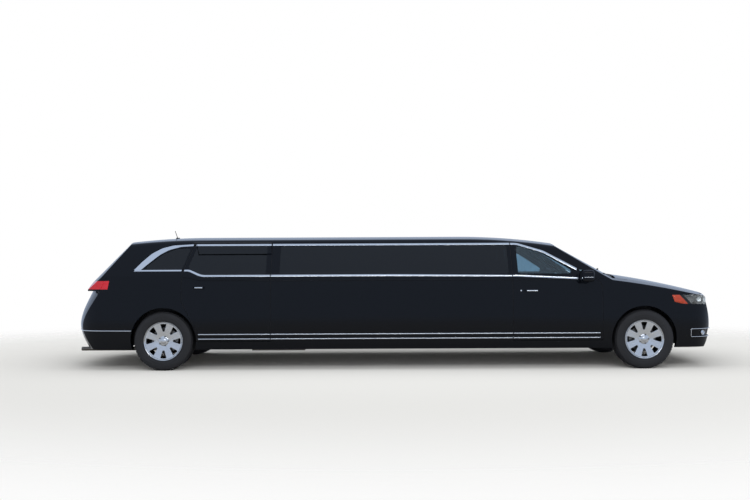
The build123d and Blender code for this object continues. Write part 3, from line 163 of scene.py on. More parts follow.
def merge(name, parts):
    """Join plain mesh objects into one, keeping each one's material."""
    bm = bmesh.new()
    slots = []
    for part in parts:
        material = part.data.materials[0]
        if material not in slots:
            slots.append(material)
        start = len(bm.faces)
        bm.from_mesh(part.data)
        bm.faces.ensure_lookup_table()
        for face in bm.faces[start:]:
            face.material_index = slots.index(material)
        bpy.data.objects.remove(part)
    obj = new_mesh(name, bm)
    for material in slots:
        obj.data.materials.append(material)
    return obj


def paint(obj, material):
    """Give an object one material on every face."""
    obj.data.materials.clear()
    obj.data.materials.append(material)
    obj.data.polygons.foreach_set("material_index", [0] * len(obj.data.polygons))
    return obj


def seat_piece(obj, body, slot, *nodes):
    """Ride on a body and stand for the CAD nodes given; the finish slot it is given is not used."""
    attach(obj, body)
    if nodes:
        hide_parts(*nodes)
    return obj


def turned(name, profile, look, segments=40, side=1, at=(0, 0, 0)):
    """A closed profile of (distance out, radius) in millimetres, turned about a wheel's axis."""
    bm = bmesh.new()
    rings = []
    for i in range(segments):
        a = 2 * math.pi * i / segments
        spots = ((r * MM * math.cos(a), side * out * MM, r * MM * math.sin(a)) for out, r in profile)
        rings.append([bm.verts.new([start + step for start, step in zip(at, spot)]) for spot in spots])
    for i, near in enumerate(rings):
        far = rings[(i + 1) % segments]
        for j in range(len(profile)):
            k = (j + 1) % len(profile)
            if max(profile[j][1], profile[k][1]) > 0:
                bm.faces.new((near[j], near[k], far[k], far[j]))
    return paint(new_mesh(name, bm), finish(look))


def prism(bm, low, high):
    """Close the space between two equal outlines with sides and ends."""
    for i in range(len(low)):
        k = (i + 1) % len(low)
        bm.faces.new((low[i], low[k], high[k], high[i]))
    bm.faces.new(low[::-1])
    bm.faces.new(high)


def block(bm, size, at=(0, 0, 0)):
    """Add a box of a size at a place."""
    move = Matrix.Translation(at) @ Matrix.Diagonal((*size, 1))
    bmesh.ops.create_cube(bm, size=1, matrix=move)


def rounded(points, radius, closed=False, step=0.05):
    """A polyline with round corners, sampled closely enough to follow the skin."""
    points = [Vector(p) for p in points]
    count = len(points)
    corners = []
    for i, p in enumerate(points):
        if not closed and i in (0, count - 1):
            corners.append([p])
            continue
        before, after = points[i - 1] - p, points[(i + 1) % count] - p
        angle = before.angle(after)
        cut = min(radius / math.tan(angle / 2), before.length * 0.45, after.length * 0.45)
        a, b = p + before.normalized() * cut, p + after.normalized() * cut
        corners.append([a.lerp(p, t).lerp(p.lerp(b, t), t) for t in (0, 0.2, 0.4, 0.6, 0.8, 1)])
    line = []
    for i, corner in enumerate(corners):
        line += corner
        if closed or i < count - 1:
            start, stop = corner[-1], corners[(i + 1) % count][0]
            parts = max(1, round((stop - start).length / step))
            line += [start.lerp(stop, j / parts) for j in range(1, parts)]
    return line


@cache
def skin_tree():
    """One search tree over the outer panels."""
    verts, faces = [], []
    for name in PANELS:
        mesh = NODES[name].data
        start = len(verts)
        verts += [v.co.copy() for v in mesh.vertices]
        faces += [[start + i for i in p.vertices] for p in mesh.polygons]
    return BVHTree.FromPolygons(verts, faces)


def skin(x, z, side, reach=0.012):
    """The point of the outer skin at a place in side view; upright gaps between panels are bridged."""
    starts = [Vector((x + dx, side * RAY_START, z)) for dx in (-reach, 0, reach)]
    hits = [skin_tree().ray_cast(start, Vector((0, -side, 0)))[0] for start in starts]
    widths = [abs(hit.y) for hit in hits if hit and hit.y * side > SKIN_LEAST]
    return Vector((x, side * max(widths, default=GAP_WIDTH), z))


def on_skin(points, side, radius=0.03, closed=False):
    """A side outline in millimetres, laid on the skin."""
    line = rounded([(x * MM, z * MM) for x, z in points], radius, closed)
    return [skin(p.x, p.y, side) for p in line]


def spaced(line, count):
    """The same line with its points at even distances."""
    lengths = [0.0]
    for a, b in zip(line, line[1:]):
        lengths.append(lengths[-1] + (b - a).length)
    points, j = [], 0
    for i in range(count):
        want = lengths[-1] * i / (count - 1)
        while j < len(line) - 2 and lengths[j + 1] < want:
            j += 1
        span = lengths[j + 1] - lengths[j]
        points.append(line[j].lerp(line[j + 1], (want - lengths[j]) / span if span else 0))
    return points


def band(name, lower, upper, side, proud, look, count=90):
    """A crowned flat strip between two side outlines in millimetres, standing on the skin."""
    lines = [[(x * MM, z * MM) for x, z in line] for line in (lower, upper)]
    edges = [spaced(rounded(line, BAND_CORNER), count) for line in lines]
    # Share of the way from the lower to the upper edge, and of the height over the skin
    rows = ((0.0, -1.0), (0.0, 0.5), (0.2, 0.95), (0.8, 0.95), (1.0, 0.5), (1.0, -1.0))
    outward = Vector((0, side * proud, 0))
    bm = bmesh.new()
    grid = []
    for a, b in zip(*edges):
        low, high = skin(a.x, a.y, side), skin(b.x, b.y, side)
        grid.append([bm.verts.new(low.lerp(high, t) + outward * lift) for t, lift in rows])
    for near, far in zip(grid, grid[1:]):
        for j in range(len(rows)):
            k = (j + 1) % len(rows)
            bm.faces.new((near[j], near[k], far[k], far[j]))
    bm.faces.new(grid[0][::-1])
    bm.faces.new(grid[-1])
    return paint(new_mesh(name, bm, 50), finish(look))


def wrap(z, hub_x, start, stop, count=60):
    """Points of the skin at one height round an end of the car, from one bearing to another."""
    hub = Vector((hub_x, 0, z))
    hits = []
    for i in range(count + 1):
        a = math.radians(start + (stop - start) * i / count)
        way = Vector((math.cos(a), math.sin(a), 0))
        hits.append(skin_tree().ray_cast(hub + way * 1.5 * RAY_START, -way)[0])
    return [hit for hit in hits if hit]


def carrier(place, hand):
    """The body that carries a run of trim: the car's own or a door of that hand."""
    return "body" if place == "body" else f"{place}_{hand}"


def on_node(node, points, way, lift=0.0):
    """Points carried along a direction onto one node, then lifted off it."""
    mesh = NODES[node].data
    tree = BVHTree.FromPolygons([v.co for v in mesh.vertices], [p.vertices for p in mesh.polygons])
    way = Vector(way)
    hits = (tree.ray_cast(Vector(p), way) for p in points)
    return [spot + normal * lift for spot, normal, _, _ in hits if spot]


def turned_along(name, at, way, profile, look, segments=40):
    """A turned piece set at a place with its open end along a direction."""
    made = turned(name, profile, look, segments)
    turn = Vector(way).to_track_quat("Y", "Z").to_matrix().to_4x4()
    made.data.transform(Matrix.Translation(at) @ turn)
    return made


def plate(name, outline, thick, place, look, bevel=0.001):
    """A flat outline given a thickness and round edges, then moved to its place."""
    bm = bmesh.new()
    prism(bm, *([bm.verts.new((p[0], p[1], z)) for p in outline] for z in (-thick / 2, thick / 2)))
    rims = [e for e in bm.edges if abs(e.verts[0].co.z - e.verts[1].co.z) < 1e-9]
    bmesh.ops.bevel(bm, geom=rims, offset=bevel, segments=2, affect="EDGES")
    bm.transform(place)
    return paint(new_mesh(name, bm), finish(look))


def curve_object(name, runs, closed=False):
    """A curve object of straight runs between close points."""
    data = bpy.data.curves.new(name, "CURVE")
    data.dimensions = "3D"
    for points in runs:
        spline = data.splines.new("POLY")
        spline.points.add(len(points) - 1)
        for target, p in zip(spline.points, points):
            target.co = (*p, 1)
        spline.use_cyclic_u = closed
    obj = bpy.data.objects.new(name, data)
    bpy.context.scene.collection.objects.link(obj)
    return obj


# Node trees, and what runs them


def tube(name, runs, radius, look, sides=12, closed=False):
    """A round bead of one finish along runs of points."""
    path = curve_object(name, runs, closed)
    return run_tree(path, bead_tree(), {"Radius": radius, "Sides": sides, "Material": finish(look)})


def round_axle(piece, radius, count, look, at, out):
    """Copies of a piece set evenly round a wheel's axis, some way out from the wheel's middle."""
    row = run_tree(piece, ring_tree(), {"Radius": radius, "Count": count, "Material": finish(look)})
    place = Matrix.Translation(at + Vector((0, out, 0)))
    row.data.transform(place @ Matrix.Rotation(math.pi / 2, 4, "X"))
    return row


def new_tree(name, inputs):
    """A geometry tree with named inputs beside its geometry, and its input node."""
    tree = bpy.data.node_groups.new(name, "GeometryNodeTree")
    tree.interface.new_socket("Geometry", in_out="INPUT", socket_type="NodeSocketGeometry")
    for label, kind, default in inputs:
        socket = tree.interface.new_socket(label, in_out="INPUT", socket_type=kind)
        if default is not None:
            socket.default_value = default
    tree.interface.new_socket("Geometry", in_out="OUTPUT", socket_type="NodeSocketGeometry")
    return tree, add(tree, "NodeGroupInput")


def close_tree(tree, source, geometry):
    """Realize, set the material and end the tree."""
    real = add(tree, "GeometryNodeRealizeInstances", {"Geometry": geometry})
    dressed = add(
        tree, "GeometryNodeSetMaterial", {"Geometry": real.outputs[0], "Material": source.outputs["Material"]}
    )
    add(tree, "NodeGroupOutput", {"Geometry": dressed.outputs[0]})
    return tree


@cache
def bead_tree():
    """A round bead along a curve, half sunk in what it lies on."""
    tree, source = new_tree(
        "Bead along a path",
        (
            ("Radius", "NodeSocketFloat", 0.006),
            ("Sides", "NodeSocketInt", 10),
            ("Material", "NodeSocketMaterial", None),
        ),
    )
    ring = add(
        tree,
        "GeometryNodeCurvePrimitiveCircle",
        {"Resolution": source.outputs["Sides"], "Radius": source.outputs["Radius"]},
    )
    tube = add(
        tree,
        "GeometryNodeCurveToMesh",
        {"Curve": source.outputs["Geometry"], "Profile Curve": ring.outputs[0], "Fill Caps": True},
    )
    smooth = add(tree, "GeometryNodeSetShadeSmooth", {"Geometry": tube.outputs[0]})
    return close_tree(tree, source, smooth.outputs[0])


@cache
def ring_tree():
    """Copies of a block set evenly round a wheel's axis and turned to face it."""
    tree, source = new_tree(
        "Blocks round an axle",
        (
            ("Radius", "NodeSocketFloat", 0.36),
            ("Count", "NodeSocketInt", 60),
            ("Material", "NodeSocketMaterial", None),
        ),
    )
    ring = add(
        tree,
        "GeometryNodeMeshCircle",
        {"Vertices": source.outputs["Count"], "Radius": source.outputs["Radius"]},
    )
    index = add(tree, "GeometryNodeInputIndex")
    share = compute(tree, "DIVIDE", 2 * math.pi, source.outputs["Count"])
    angle = compute(tree, "MULTIPLY", index.outputs[0], share)
    turn = add(tree, "ShaderNodeCombineXYZ", {"Z": angle})
    copies = add(
        tree,
        "GeometryNodeInstanceOnPoints",
        {"Points": ring.outputs[0], "Instance": source.outputs["Geometry"], "Rotation": turn.outputs[0]},
    )
    return close_tree(tree, source, copies.outputs[0])


# Finishes

# A finish: its colour and a second one that it varies to, metallic, the roughness it varies between,
# grain and relief in millimetres, and constants of the shader's own sockets
Finish = namedtuple("Finish", "base second metallic smooth rough grain relief constants")
FINISHES = {
    # Black enamel under clear lacquer: a deep mirror with the faint waviness of a sprayed panel
    "enamel_black_lacquered": (
        "#04060b", "#070a11", 0.0, 0.10, 0.16, 26.0, 0.02,
        {"IOR": 1.5, "Coat Weight": 0.3, "Coat Roughness": 0.03, "Specular IOR Level": 0.1},
    ),
    # Chromed plastic trim: bright, a little hazed by washing
    "chrome_trim": ("#f0f2f4", "#e2e5e8", 1.0, 0.16, 0.28, 9.0, 0.004, {}),
    # Chromed cast wheel: bright with brake dust where it gathers
    "chrome_wheel": ("#eceef0", "#d6d5d2", 1.0, 0.12, 0.26, 18.0, 0.01, {}),
    # Dark tinted safety glass: nearly black from outside, smooth
    "glass_tinted": (
        "#0c1012", "#101518", 0.0, 0.01, 0.03, 60.0, 0.0, {"IOR": 1.5, "Transmission Weight": 0.9},
    ),
    # Solar safety glass: a blue tint that the two panes of the cabin double
    "glass_solar": (
        "#8fadbf", "#9bb7c8", 0.0, 0.0, 0.02, 60.0, 0.0, {"IOR": 1.5, "Transmission Weight": 0.97},
    ),
    # Grained black polypropylene: dull, with a fine leather-like grain drawn coarse enough to show
    "polypropylene_black": ("#131415", "#1b1c1d", 0.0, 0.45, 0.65, 2.5, 0.12, {"IOR": 1.49}),
    # Clear polycarbonate lens
    "lens_clear": (
        "#eef3f4", "#f6fafa", 0.0, 0.0, 0.03, 40.0, 0.0, {"IOR": 1.58, "Transmission Weight": 0.95},
    ),
    # Red acrylic lens: deep red that lets light in
    "lens_red": (
        "#cc0d1b", "#dc1522", 0.0, 0.04, 0.10, 30.0, 0.0,
        {"IOR": 1.49, "Transmission Weight": 0.12, "Coat Weight": 0.6, "Coat Roughness": 0.03},
    ),
    # Amber acrylic lens
    "lens_amber": (
        "#c23c0c", "#d64c12", 0.0, 0.05, 0.12, 24.0, 0.0,
        {"IOR": 1.49, "Transmission Weight": 0.3, "Coat Weight": 0.6, "Coat Roughness": 0.03},
    ),
    # Metallised plastic reflector
    "reflector_metallised": ("#eceff3", "#dcdfe3", 1.0, 0.08, 0.18, 6.0, 0.01, {}),
    # Tyre rubber: moulded, greyed by road dust in its grooves
    "rubber_moulded": ("#17181a", "#26262a", 0.0, 0.62, 0.86, 5.0, 0.25, {"IOR": 1.52}),
    # Chassis steel under black electrocoat
    "steel_electrocoated": ("#1d1e20", "#2c2b29", 0.0, 0.42, 0.66, 14.0, 0.12, {"IOR": 1.5}),
    # Sand-cast iron and alloy: rough skin
    "iron_sandcast": ("#5b5c5c", "#44423f", 0.9, 0.38, 0.62, 3.0, 0.3, {}),
    # Turned brake disc: fine rings, a rust bloom at its edge
    "steel_turned": ("#8d8c89", "#6f6a64", 1.0, 0.25, 0.42, 4.0, 0.05, {}),
    # Aluminised exhaust steel, heat stained
    "steel_aluminised": ("#8b8780", "#6d6257", 1.0, 0.34, 0.58, 22.0, 0.06, {}),
    # Black seat leather: soft sheen, pebbled grain
    "leather_black": ("#17161a", "#232127", 0.0, 0.38, 0.58, 3.0, 0.35, {"IOR": 1.5, "Sheen Weight": 0.1}),
    # Stone leather of the driver's seats, seen through the clear glass
    "leather_stone": ("#8d8578", "#a1998b", 0.0, 0.42, 0.60, 3.0, 0.35, {"IOR": 1.5, "Sheen Weight": 0.1}),
    # Moulded soft cabin plastic
    "plastic_cabin": ("#2b2a2c", "#353336", 0.0, 0.55, 0.75, 2.5, 0.15, {"IOR": 1.48}),
    # Knitted headlining cloth
    "cloth_headlining": ("#a7a39b", "#b8b4ab", 0.0, 0.85, 0.95, 2.0, 0.3, {"IOR": 1.45, "Sheen Weight": 0.3}),
    # Tufted carpet
    "carpet_tufted": ("#232224", "#312f31", 0.0, 0.9, 1.0, 4.0, 1.2, {"IOR": 1.45, "Sheen Weight": 0.25}),
    # Walnut veneer under lacquer for the bar
    "walnut_lacquered": (
        "#3a1f12", "#5b3520", 0.0, 0.16, 0.26, 14.0, 0.02,
        {"IOR": 1.52, "Coat Weight": 0.8, "Coat Roughness": 0.05},
    ),
    # Mirror glass: silvered
    "mirror_silvered": ("#dfe3e5", "#d6dadd", 1.0, 0.01, 0.03, 50.0, 0.0, {}),
}

# Inner lining of panels that are one solid with their trim: outer finish, lining finish, facing
LININGS = {
    "panel_with_door_card": ("enamel_black_lacquered", "plastic_cabin", "in"),
    "roof_with_headlining": ("enamel_black_lacquered", "cloth_headlining", "down"),
    "floor_with_carpet": ("steel_electrocoated", "carpet_tufted", "up"),
}
# How far a face has to lean its way to count as lining
LINING_LEAN = 0.45
# Broad clouds of wear, per metre
CLOUD_SCALE = 2.2


def pattern(tree, spec, coordinate):
    """Colour, roughness and relief of one finish, from its real grain."""
    noise = add(
        tree,
        "ShaderNodeTexNoise",
        {"Vector": coordinate, "Scale": 1 / (spec.grain * MM), "Detail": 4.0, "Roughness": 0.55},
    )
    clouds = add(tree, "ShaderNodeTexNoise", {"Vector": coordinate, "Scale": CLOUD_SCALE, "Detail": 3.0})
    grain = noise.outputs["Fac"]
    colour = add(
        tree, "ShaderNodeMix", {0: grain, 6: linear(spec.base), 7: linear(spec.second)}, data_type="RGBA"
    )
    both = compute(tree, "MULTIPLY", grain, clouds.outputs["Fac"])
    rough = add(
        tree,
        "ShaderNodeMapRange",
        {
            "Value": both, "From Min": 0.12, "From Max": 0.4,
            "To Min": spec.smooth, "To Max": spec.rough,
        },
    )
    height = compute(tree, "MULTIPLY", grain, spec.relief * MM)
    return colour.outputs[2], rough.outputs[0], height


def dress(tree, name, coordinate):
    """One finish as a shader."""
    spec = Finish(*FINISHES[name])
    colour, rough, height = pattern(tree, spec, coordinate)
    shader = add(
        tree,
        "ShaderNodeBsdfPrincipled",
        {"Base Color": colour, "Roughness": rough, "Metallic": spec.metallic, **spec.constants},
    )
    if spec.relief:
        bump = add(tree, "ShaderNodeBump", {"Height": height, "Distance": 1.0, "Strength": 0.8})
        tree.links.new(bump.outputs[0], shader.inputs["Normal"])
    return shader.outputs[0]


def lining_mask(tree, place, facing):
    """One where a panel's face looks into the cabin."""
    way = add(tree, "ShaderNodeSeparateXYZ", {0: place.outputs["Normal"]})
    lean = way.outputs["Z"]
    if facing == "up":
        return compute(tree, "GREATER_THAN", lean, LINING_LEAN)
    if facing == "in":
        spot = add(tree, "ShaderNodeSeparateXYZ", {0: place.outputs["Object"]})
        lean = compute(tree, "MULTIPLY", way.outputs["Y"], compute(tree, "SIGN", spot.outputs["Y"]))
    return compute(tree, "LESS_THAN", lean, -LINING_LEAN)


@cache
def finish(name):
    """The material of a finish, made once."""
    material = bpy.data.materials.new(name)
    tree = cleared(material)
    place = add(tree, "ShaderNodeTexCoord")
    coordinate = place.outputs["Object"]
    if name in FINISHES:
        shader = dress(tree, name, coordinate)
    else:
        outer, inner, facing = LININGS[name]
        mask = lining_mask(tree, place, facing)
        shader = blend(tree, mask, dress(tree, outer, coordinate), dress(tree, inner, coordinate))
    add(tree, "ShaderNodeOutputMaterial", {"Surface": shader})
    return material


# Which CAD nodes keep their shape, and their finish
KEPT = {
    "panel_with_door_card": (*both("body_side", "door_front", "door_rear"), "liftgate"),
    "roof_with_headlining": ("roof_panel",),
    "enamel_black_lacquered": ("hood", "front_fenders", "front_bumper", "rear_bumper"),
    "chrome_trim": ("grille",),
    "glass_tinted": ("side_glass", *both("door_glass_rear"), "liftgate_glass"),
    "glass_solar": ("windshield", *both("door_glass_front")),
    "floor_with_carpet": ("floor_pan",),
    "steel_electrocoated": (
        "front_frame", "front_subframe", "rear_subframe", "driveshaft", "fuel_tank", "bulkhead",
    ),
    "iron_sandcast": ("engine_block", *both("knuckle")),
    "steel_aluminised": ("exhaust_system",),
    "walnut_lacquered": ("bar_console",),
    "plastic_cabin": ("partition", "dashboard", "steering_wheel"),
    "polypropylene_black": ("aerial",),
}


# Places and sizes; outlines seen from the side are in millimetres along and up

# Bright bands round the windows: what carries it, name, lower edge, upper edge
WINDOW_BANDS = (
    ("rear_door", "top", ((-2512, 1568), (-1541, 1568)), ((-2518, 1591), (-1541, 1591))),
    (
        "rear_door", "foot", ((-2630, 1246), (-2572, 1246), (-2418, 1177), (-1541, 1177)),
        ((-2624, 1266), (-2560, 1266), (-2405, 1198), (-1541, 1198)),
    ),
    ("body", "top", ((-1530, 1568), (1506, 1568)), ((-1530, 1591), (1506, 1591))),
    ("body", "foot", ((-1530, 1177), (0, 1177), (1506, 1165)), ((-1530, 1198), (0, 1198), (1506, 1186))),
    (
        "front_door", "top", ((1517, 1567), (1594, 1567), (1914, 1468), (2316, 1241)),
        ((1517, 1590), (1600, 1590), (1925, 1490), (2330, 1262)),
    ),
    ("front_door", "foot", ((1517, 1165), (2330, 1127)), ((1517, 1186), (2330, 1148))),
    (
        "body", "quarter_top",
        ((-2550, 1568), (-2700, 1560), (-2850, 1520), (-2960, 1458), (-3080, 1356), (-3178, 1266)),
        ((-2545, 1591), (-2800, 1576), (-2943, 1540), (-3065, 1472), (-3174, 1368), (-3268, 1262)),
    ),
    ("body", "quarter_foot", ((-3266, 1247), (-2662, 1247)), ((-3250, 1265), (-2657, 1265))),
)
# Painted shoulder line below the windows: what carries it and its course; then its corner and radius
SHOULDER_RUNS = (
    ("rear_door", ((-2636, 1172), (-2560, 1163), (-2440, 1133), (-1541, 1126))),
    ("body", ((-1530, 1126), (1507, 1126))),
    ("front_door", ((1517, 1126), (2335, 1122))),
)
SHOULDER_CORNER = 0.06
SHOULDER_R = 0.006
# Rubber seals in the middle of the gaps round the doors; the front one leaves out what the mirror hides
DOOR_SEALS = (
    ("front", ((1510, 380), (1510, 1605), (1604, 1605), (1934, 1503), (2392, 1245))),
    ("fender", ((2520, 1156), (2602, 1097), (2633, 1031), (2633, 380))),
    (
        "rear",
        ((-1533, 380), (-1533, 1605), (-2522, 1605), (-2651, 1230), (-2651, 870), (-2468, 500), (-2468, 380)),
    ),
)
# Parts of a seal: name, depth as a multiple of the seal's own, radius in metres; then the sides of both
SEAL_PARTS = (("lip", 1, 0.0033), ("bulb", 2.6, 0.006))
SEAL_SIDES = 8
# Caps over the belt ends of the doors: door, name, inner edge, outer edge; then height and sections
BELT_CAPS = (
    ("front_door", "back", ((1538, 1203), (1538, 1263)), ((1512.6, 1203), (1512.6, 1263))),
    ("front_door", "front", ((2346, 1243), (2312, 1262)), ((2390, 1243), (2356, 1262))),
    ("rear_door", "front", ((-1561, 1203), (-1561, 1263)), ((-1535.6, 1203), (-1535.6, 1263))),
    (
        "rear_door", "back", ((-2623, 1203), (-2624, 1230), (-2614, 1263)),
        ((-2647, 1203), (-2647, 1230), (-2636, 1263)),
    ),
)
CAP_PROUD = 0.0014
CAP_SECTIONS = 9
# Bright inserts of the door handles, bright lines on the mirrors and round the fog lamps, with their radii
HANDLE_LINES = (("rear_door", ((-2476, 1040), (-2379, 1040))), ("front_door", ((1678, 985), (1813, 985))))
HANDLE_R = 0.009
MIRROR_LINE = ((2366, 1152), (2484, 1152))
MIRROR_LINE_R = 0.0035
FOG_OUTLINE = ((3758, 394), (4064, 394), (4064, 494), (3758, 494))
FOG_CORNER = 0.02
FOG_OUTLINE_R = 0.004
# Twin strips along the sills: heights, then what carries each run with its start and stop
SILL_HEIGHTS = (453, 395)
SILL_RUNS = (("rear_door", -2440, -1541), ("body", -1530, 1507), ("front_door", 1517, 2600))
# Strip round the rear bumper: height and middle of the fan of rays in metres, its bearings and radius
BUMPER_STRIP = (0.5, -3.25, 92, 268)
BUMPER_STRIP_R = 0.006
# Mirror glass: place in millimetres, half width and half height, corner, thickness in metres; then the
# place of the door lock
MIRROR_GLASS = (2358, 1014, 1167)
MIRROR_HALVES = (61, 53)
MIRROR_CORNER = 28
MIRROR_THICK = 0.004
LOCK = (1612, 985)
# Head lamp: head and foot of the black bar between amber and clear and its half width; then the
# middle that the reflectors face away from, and the bearing, height and radius of each
LAMP_BAR = ((3633, 922), (3722, 830))
LAMP_BAR_HALF = 17
LAMP_HUB = (3754, 553)
LAMP_DISHES = ((18, 868, 34), (44, 862, 38), (70, 858, 38))
# In metres: how far behind the skin a reflector lies, how far from its hub its ray starts, and the place
# along the car that a lamp's front faces away from; the least lean that counts as front; and, in metres
# again, the walls of lens and housing
DISH_SUNK = 0.009
DISH_RAY = 1.2
LAMP_FOCUS = 3.2
LAMP_LEAN = 0.25
LENS_WALL = 0.0025
HOUSING_WALL = 0.0015
# Tyre section, outer half: distance out from the middle and radius, in millimetres
TREAD_R = 362.0
TYRE_PROFILE = (
    (0, TREAD_R), (40, TREAD_R), (80, TREAD_R - 1), (101, TREAD_R - 4), (111, 352), (115, 338), (117.5, 320),
    (118, 305), (117, 292), (115.5, 290), (116.5, 284), (115, 276), (109, 262), (103, 253), (102, 248),
    (98, 245), (92, 244),
)
TYRE_SEGMENTS = 120
# Tread rows in millimetres: distance out, width, length round the tyre, count and drop at the shoulder
TREAD_ROWS = ((0, 30, 30, 60, 0), (38, 30, 27, 66, 0), (78, 34, 27, 66, 2))
# In metres: how deep a tread block is rooted in the tyre, and the bevel of its edges
BLOCK_ROOT = 0.004
BLOCK_BEVEL = 0.0012
# Turned profiles: distance out and radius, in millimetres; the dish's own radius is what it scales from
RIM_PROFILE = (
    (106, 238), (108, 242), (104, 246), (98, 243), (94, 236), (84, 231), (70, 228), (20, 226), (-60, 222),
    (-92, 228), (-98, 244), (-104, 244), (-104, 238), (-96, 222), (-60, 215), (20, 219), (74, 221), (96, 229),
)
FACE_PROFILE = (
    (44, 0), (44, 55), (56, 100), (64, 150), (70, 195), (76, 224), (98, 229), (96, 218), (93, 190), (90, 150),
    (85, 110), (81, 80), (79, 62), (84, 56), (86, 40), (86, 0),
)
FACE_SEGMENTS = 160
DISH_PROFILE = (
    (-26, 0), (-26, 9), (-18, 18), (0, 30), (3, 34), (5, 34), (1, 28), (-16, 15), (-22, 8), (-22, 0),
)
DISH_RADIUS = 34
BULB_PROFILE = ((-24, 0), (-24, 6), (-8, 7), (-3, 5), (0, 0))
LENS_PROFILE = ((-2, 0), (-2, 27), (2, 27), (5, 20), (7, 10), (7.6, 0))
FOG_RING_PROFILE = ((-6, 27), (-6, 33), (6, 33), (8, 30), (6, 27))
LOCK_PROFILE = ((-3, 0), (-3, 9), (1.5, 9), (2.5, 7), (2.7, 0))
CAP_PROFILE = ((84, 0), (84, 35), (90, 35), (95, 30), (98, 20), (99.5, 10), (100, 0))
DISC_PROFILE = ((-6, 60), (-6, 166), (4, 166), (4, 162), (8, 162), (8, 166), (18, 166), (18, 60))
# Turned parts of a wheel behind and in front of its face: name, profile, segments, finish
WHEEL_PARTS = (
    ("rim", RIM_PROFILE, 120, "chrome_wheel"),
    ("cap", CAP_PROFILE, 48, "chrome_wheel"),
    ("disc", DISC_PROFILE, 96, "steel_turned"),
)
# Spokes, and the openings between them in millimetres: outline, its corner, the longest step between
# points and the cutter's two ends; then the bevel of the face's edges in metres
SPOKES = 8
HOLE_OUTLINE = ((118, -11), (214, -40), (217, 0), (214, 40), (118, 11))
HOLE_CORNER = 9.0
HOLE_STEP = 40.0
HOLE_ENDS = (20, 140)
FACE_BEVEL = 0.004
# Wheel nuts in metres: count, radius at foot and head, length, distance out
LUGS = 5
NUT_RADII = (0.0105, 0.0095)
NUT_LENGTH = 0.03
NUT_OUT = 0.076
# Fog lamp: place, direction in plan, and its pieces with how far each stands out in metres
FOG_LAMP = (3925, 444)
FOG_WAY = (0.5, 0.866)
FOG_PIECES = (
    ("ring", 0.004, FOG_RING_PROFILE, "chrome_trim"), ("lens", 0.002, LENS_PROFILE, "reflector_metallised"),
)
# Wipers, across and up in metres: the blade's two ends and the arm's pivot; then the place along the
# car, ahead of the windscreen, that the rays onto it start from
WIPERS = (
    ("wiper_right", (-0.66, 1.245), (-0.06, 1.232), (-0.05, 1.212)),
    ("wiper_left", (0.02, 1.232), (0.70, 1.245), (0.62, 1.212)),
)
AHEAD = 4.0
# Height over the glass, radius and points of blade and arm, in metres
BLADE = (0.007, 0.006, 13)
ARM = (0.016, 0.0065, 7)
WIPER_SIDES = 8
# Cushions in metres and degrees: name, size, place along, height over the floor, lean, channels, crown
CROWN = 0.018
FRONT_SEAT = (
    ("base", (0.50, 0.50, 0.19), 1.93, 0.195, -4, 5, CROWN),
    ("back", (0.62, 0.48, 0.13), 1.63, 0.58, -106, 6, CROWN),
    ("rest", (0.18, 0.28, 0.10), 1.525, 0.93, -100, 0, 0.01),
)
FRONT_SEAT_Y = 0.39
REAR_BENCH = (
    ("base", (0.50, 0.50, 0.17), -2.06, 0.20, -3, 5, CROWN),
    ("back", (0.60, 0.50, 0.13), -2.37, 0.50, -104, 6, CROWN),
)
REAR_BENCH_STEP = 0.515
# Cushions of the side bench: name, size, place across, height over the floor, lean, channels
SIDE_BENCH = (
    ("base", (0.56, 0.40, 0.17), 0.56, 0.20, 0, 6),
    ("back", (0.56, 0.42, 0.11), 0.785, 0.50, 82, 6),
)
SIDE_BENCH_START, SIDE_BENCH_STEP = -1.35, 0.575
# The block under a front seat: size, height over the floor and bevel
RUNNER = (0.42, 0.36, 0.10)
RUNNER_UP = 0.05
RUNNER_BEVEL = 0.01
# A cushion's mesh: cuts of each edge, how square it is, where its upper side starts, depth of channels
CUSHION_CUTS = 26
CUSHION_POWER = 7
UPPER_SIDE = 0.2
CHANNEL_DEPTH = 0.012
# Stage: how far the floor reaches, the ring in which it fades out, and the shape of that ring
FLOOR_REACH = 60
FADE = (3.0, 7.0)
FADE_SHAPE = (0.62, 1.0, 1.0)
FLOOR_IN_MIRRORS = "#a9aaab"
# Backdrop as diffuse light, in mirror images and as the camera sees it: colour, strength
SKY = (("#ffffff", 0.75), ("#c9d9f3", 0.8), ("#ffffff", 1.0))
# Area lights: name, place, what it points at, width and height, power, whether mirror images show it
LIGHTS = (
    ("overhead", (0, 0, 6.5), (0, 0, 0), (12, 6), 420, False),
    ("near_side", (1.5, -9, 5.5), (0, 0, 0.6), (10, 1.2), 170, True),
)
# Camera from the photograph: sensor in millimetres, then focal length, picture width and how far the
# horizon lies under the picture's middle in pixels, its roll in radians and its place along the car
SENSOR = 36.0
FOCAL, PICTURE_WIDTH, HORIZON_DROP = 749, 750, 12.2
CAMERA_ROLL = -0.0046
CAMERA_X = -0.2185


class LimousineSizes(bpy.types.PropertyGroup):
    """Sizes that a user would change."""

    seal_depth: bpy.props.FloatProperty(
        name="Door seal", description="How far the door seals lie below the skin", default=0.007,
        unit="LENGTH",
    )
    proud: bpy.props.FloatProperty(
        name="Window band", description="How far the bright bands round the windows stand out",
        default=0.0035, unit="LENGTH",
    )
    sill_bead: bpy.props.FloatProperty(
        name="Sill bead", description="Radius of the two bright sill strips", default=0.007, unit="LENGTH"
    )
    tread: bpy.props.FloatProperty(
        name="Tread depth", description="How far the tread blocks stand up", default=0.0073, unit="LENGTH"
    )
    lug: bpy.props.FloatProperty(
        name="Lug circle", description="Radius of the circle of wheel nuts", default=0.0571, unit="LENGTH"
    )


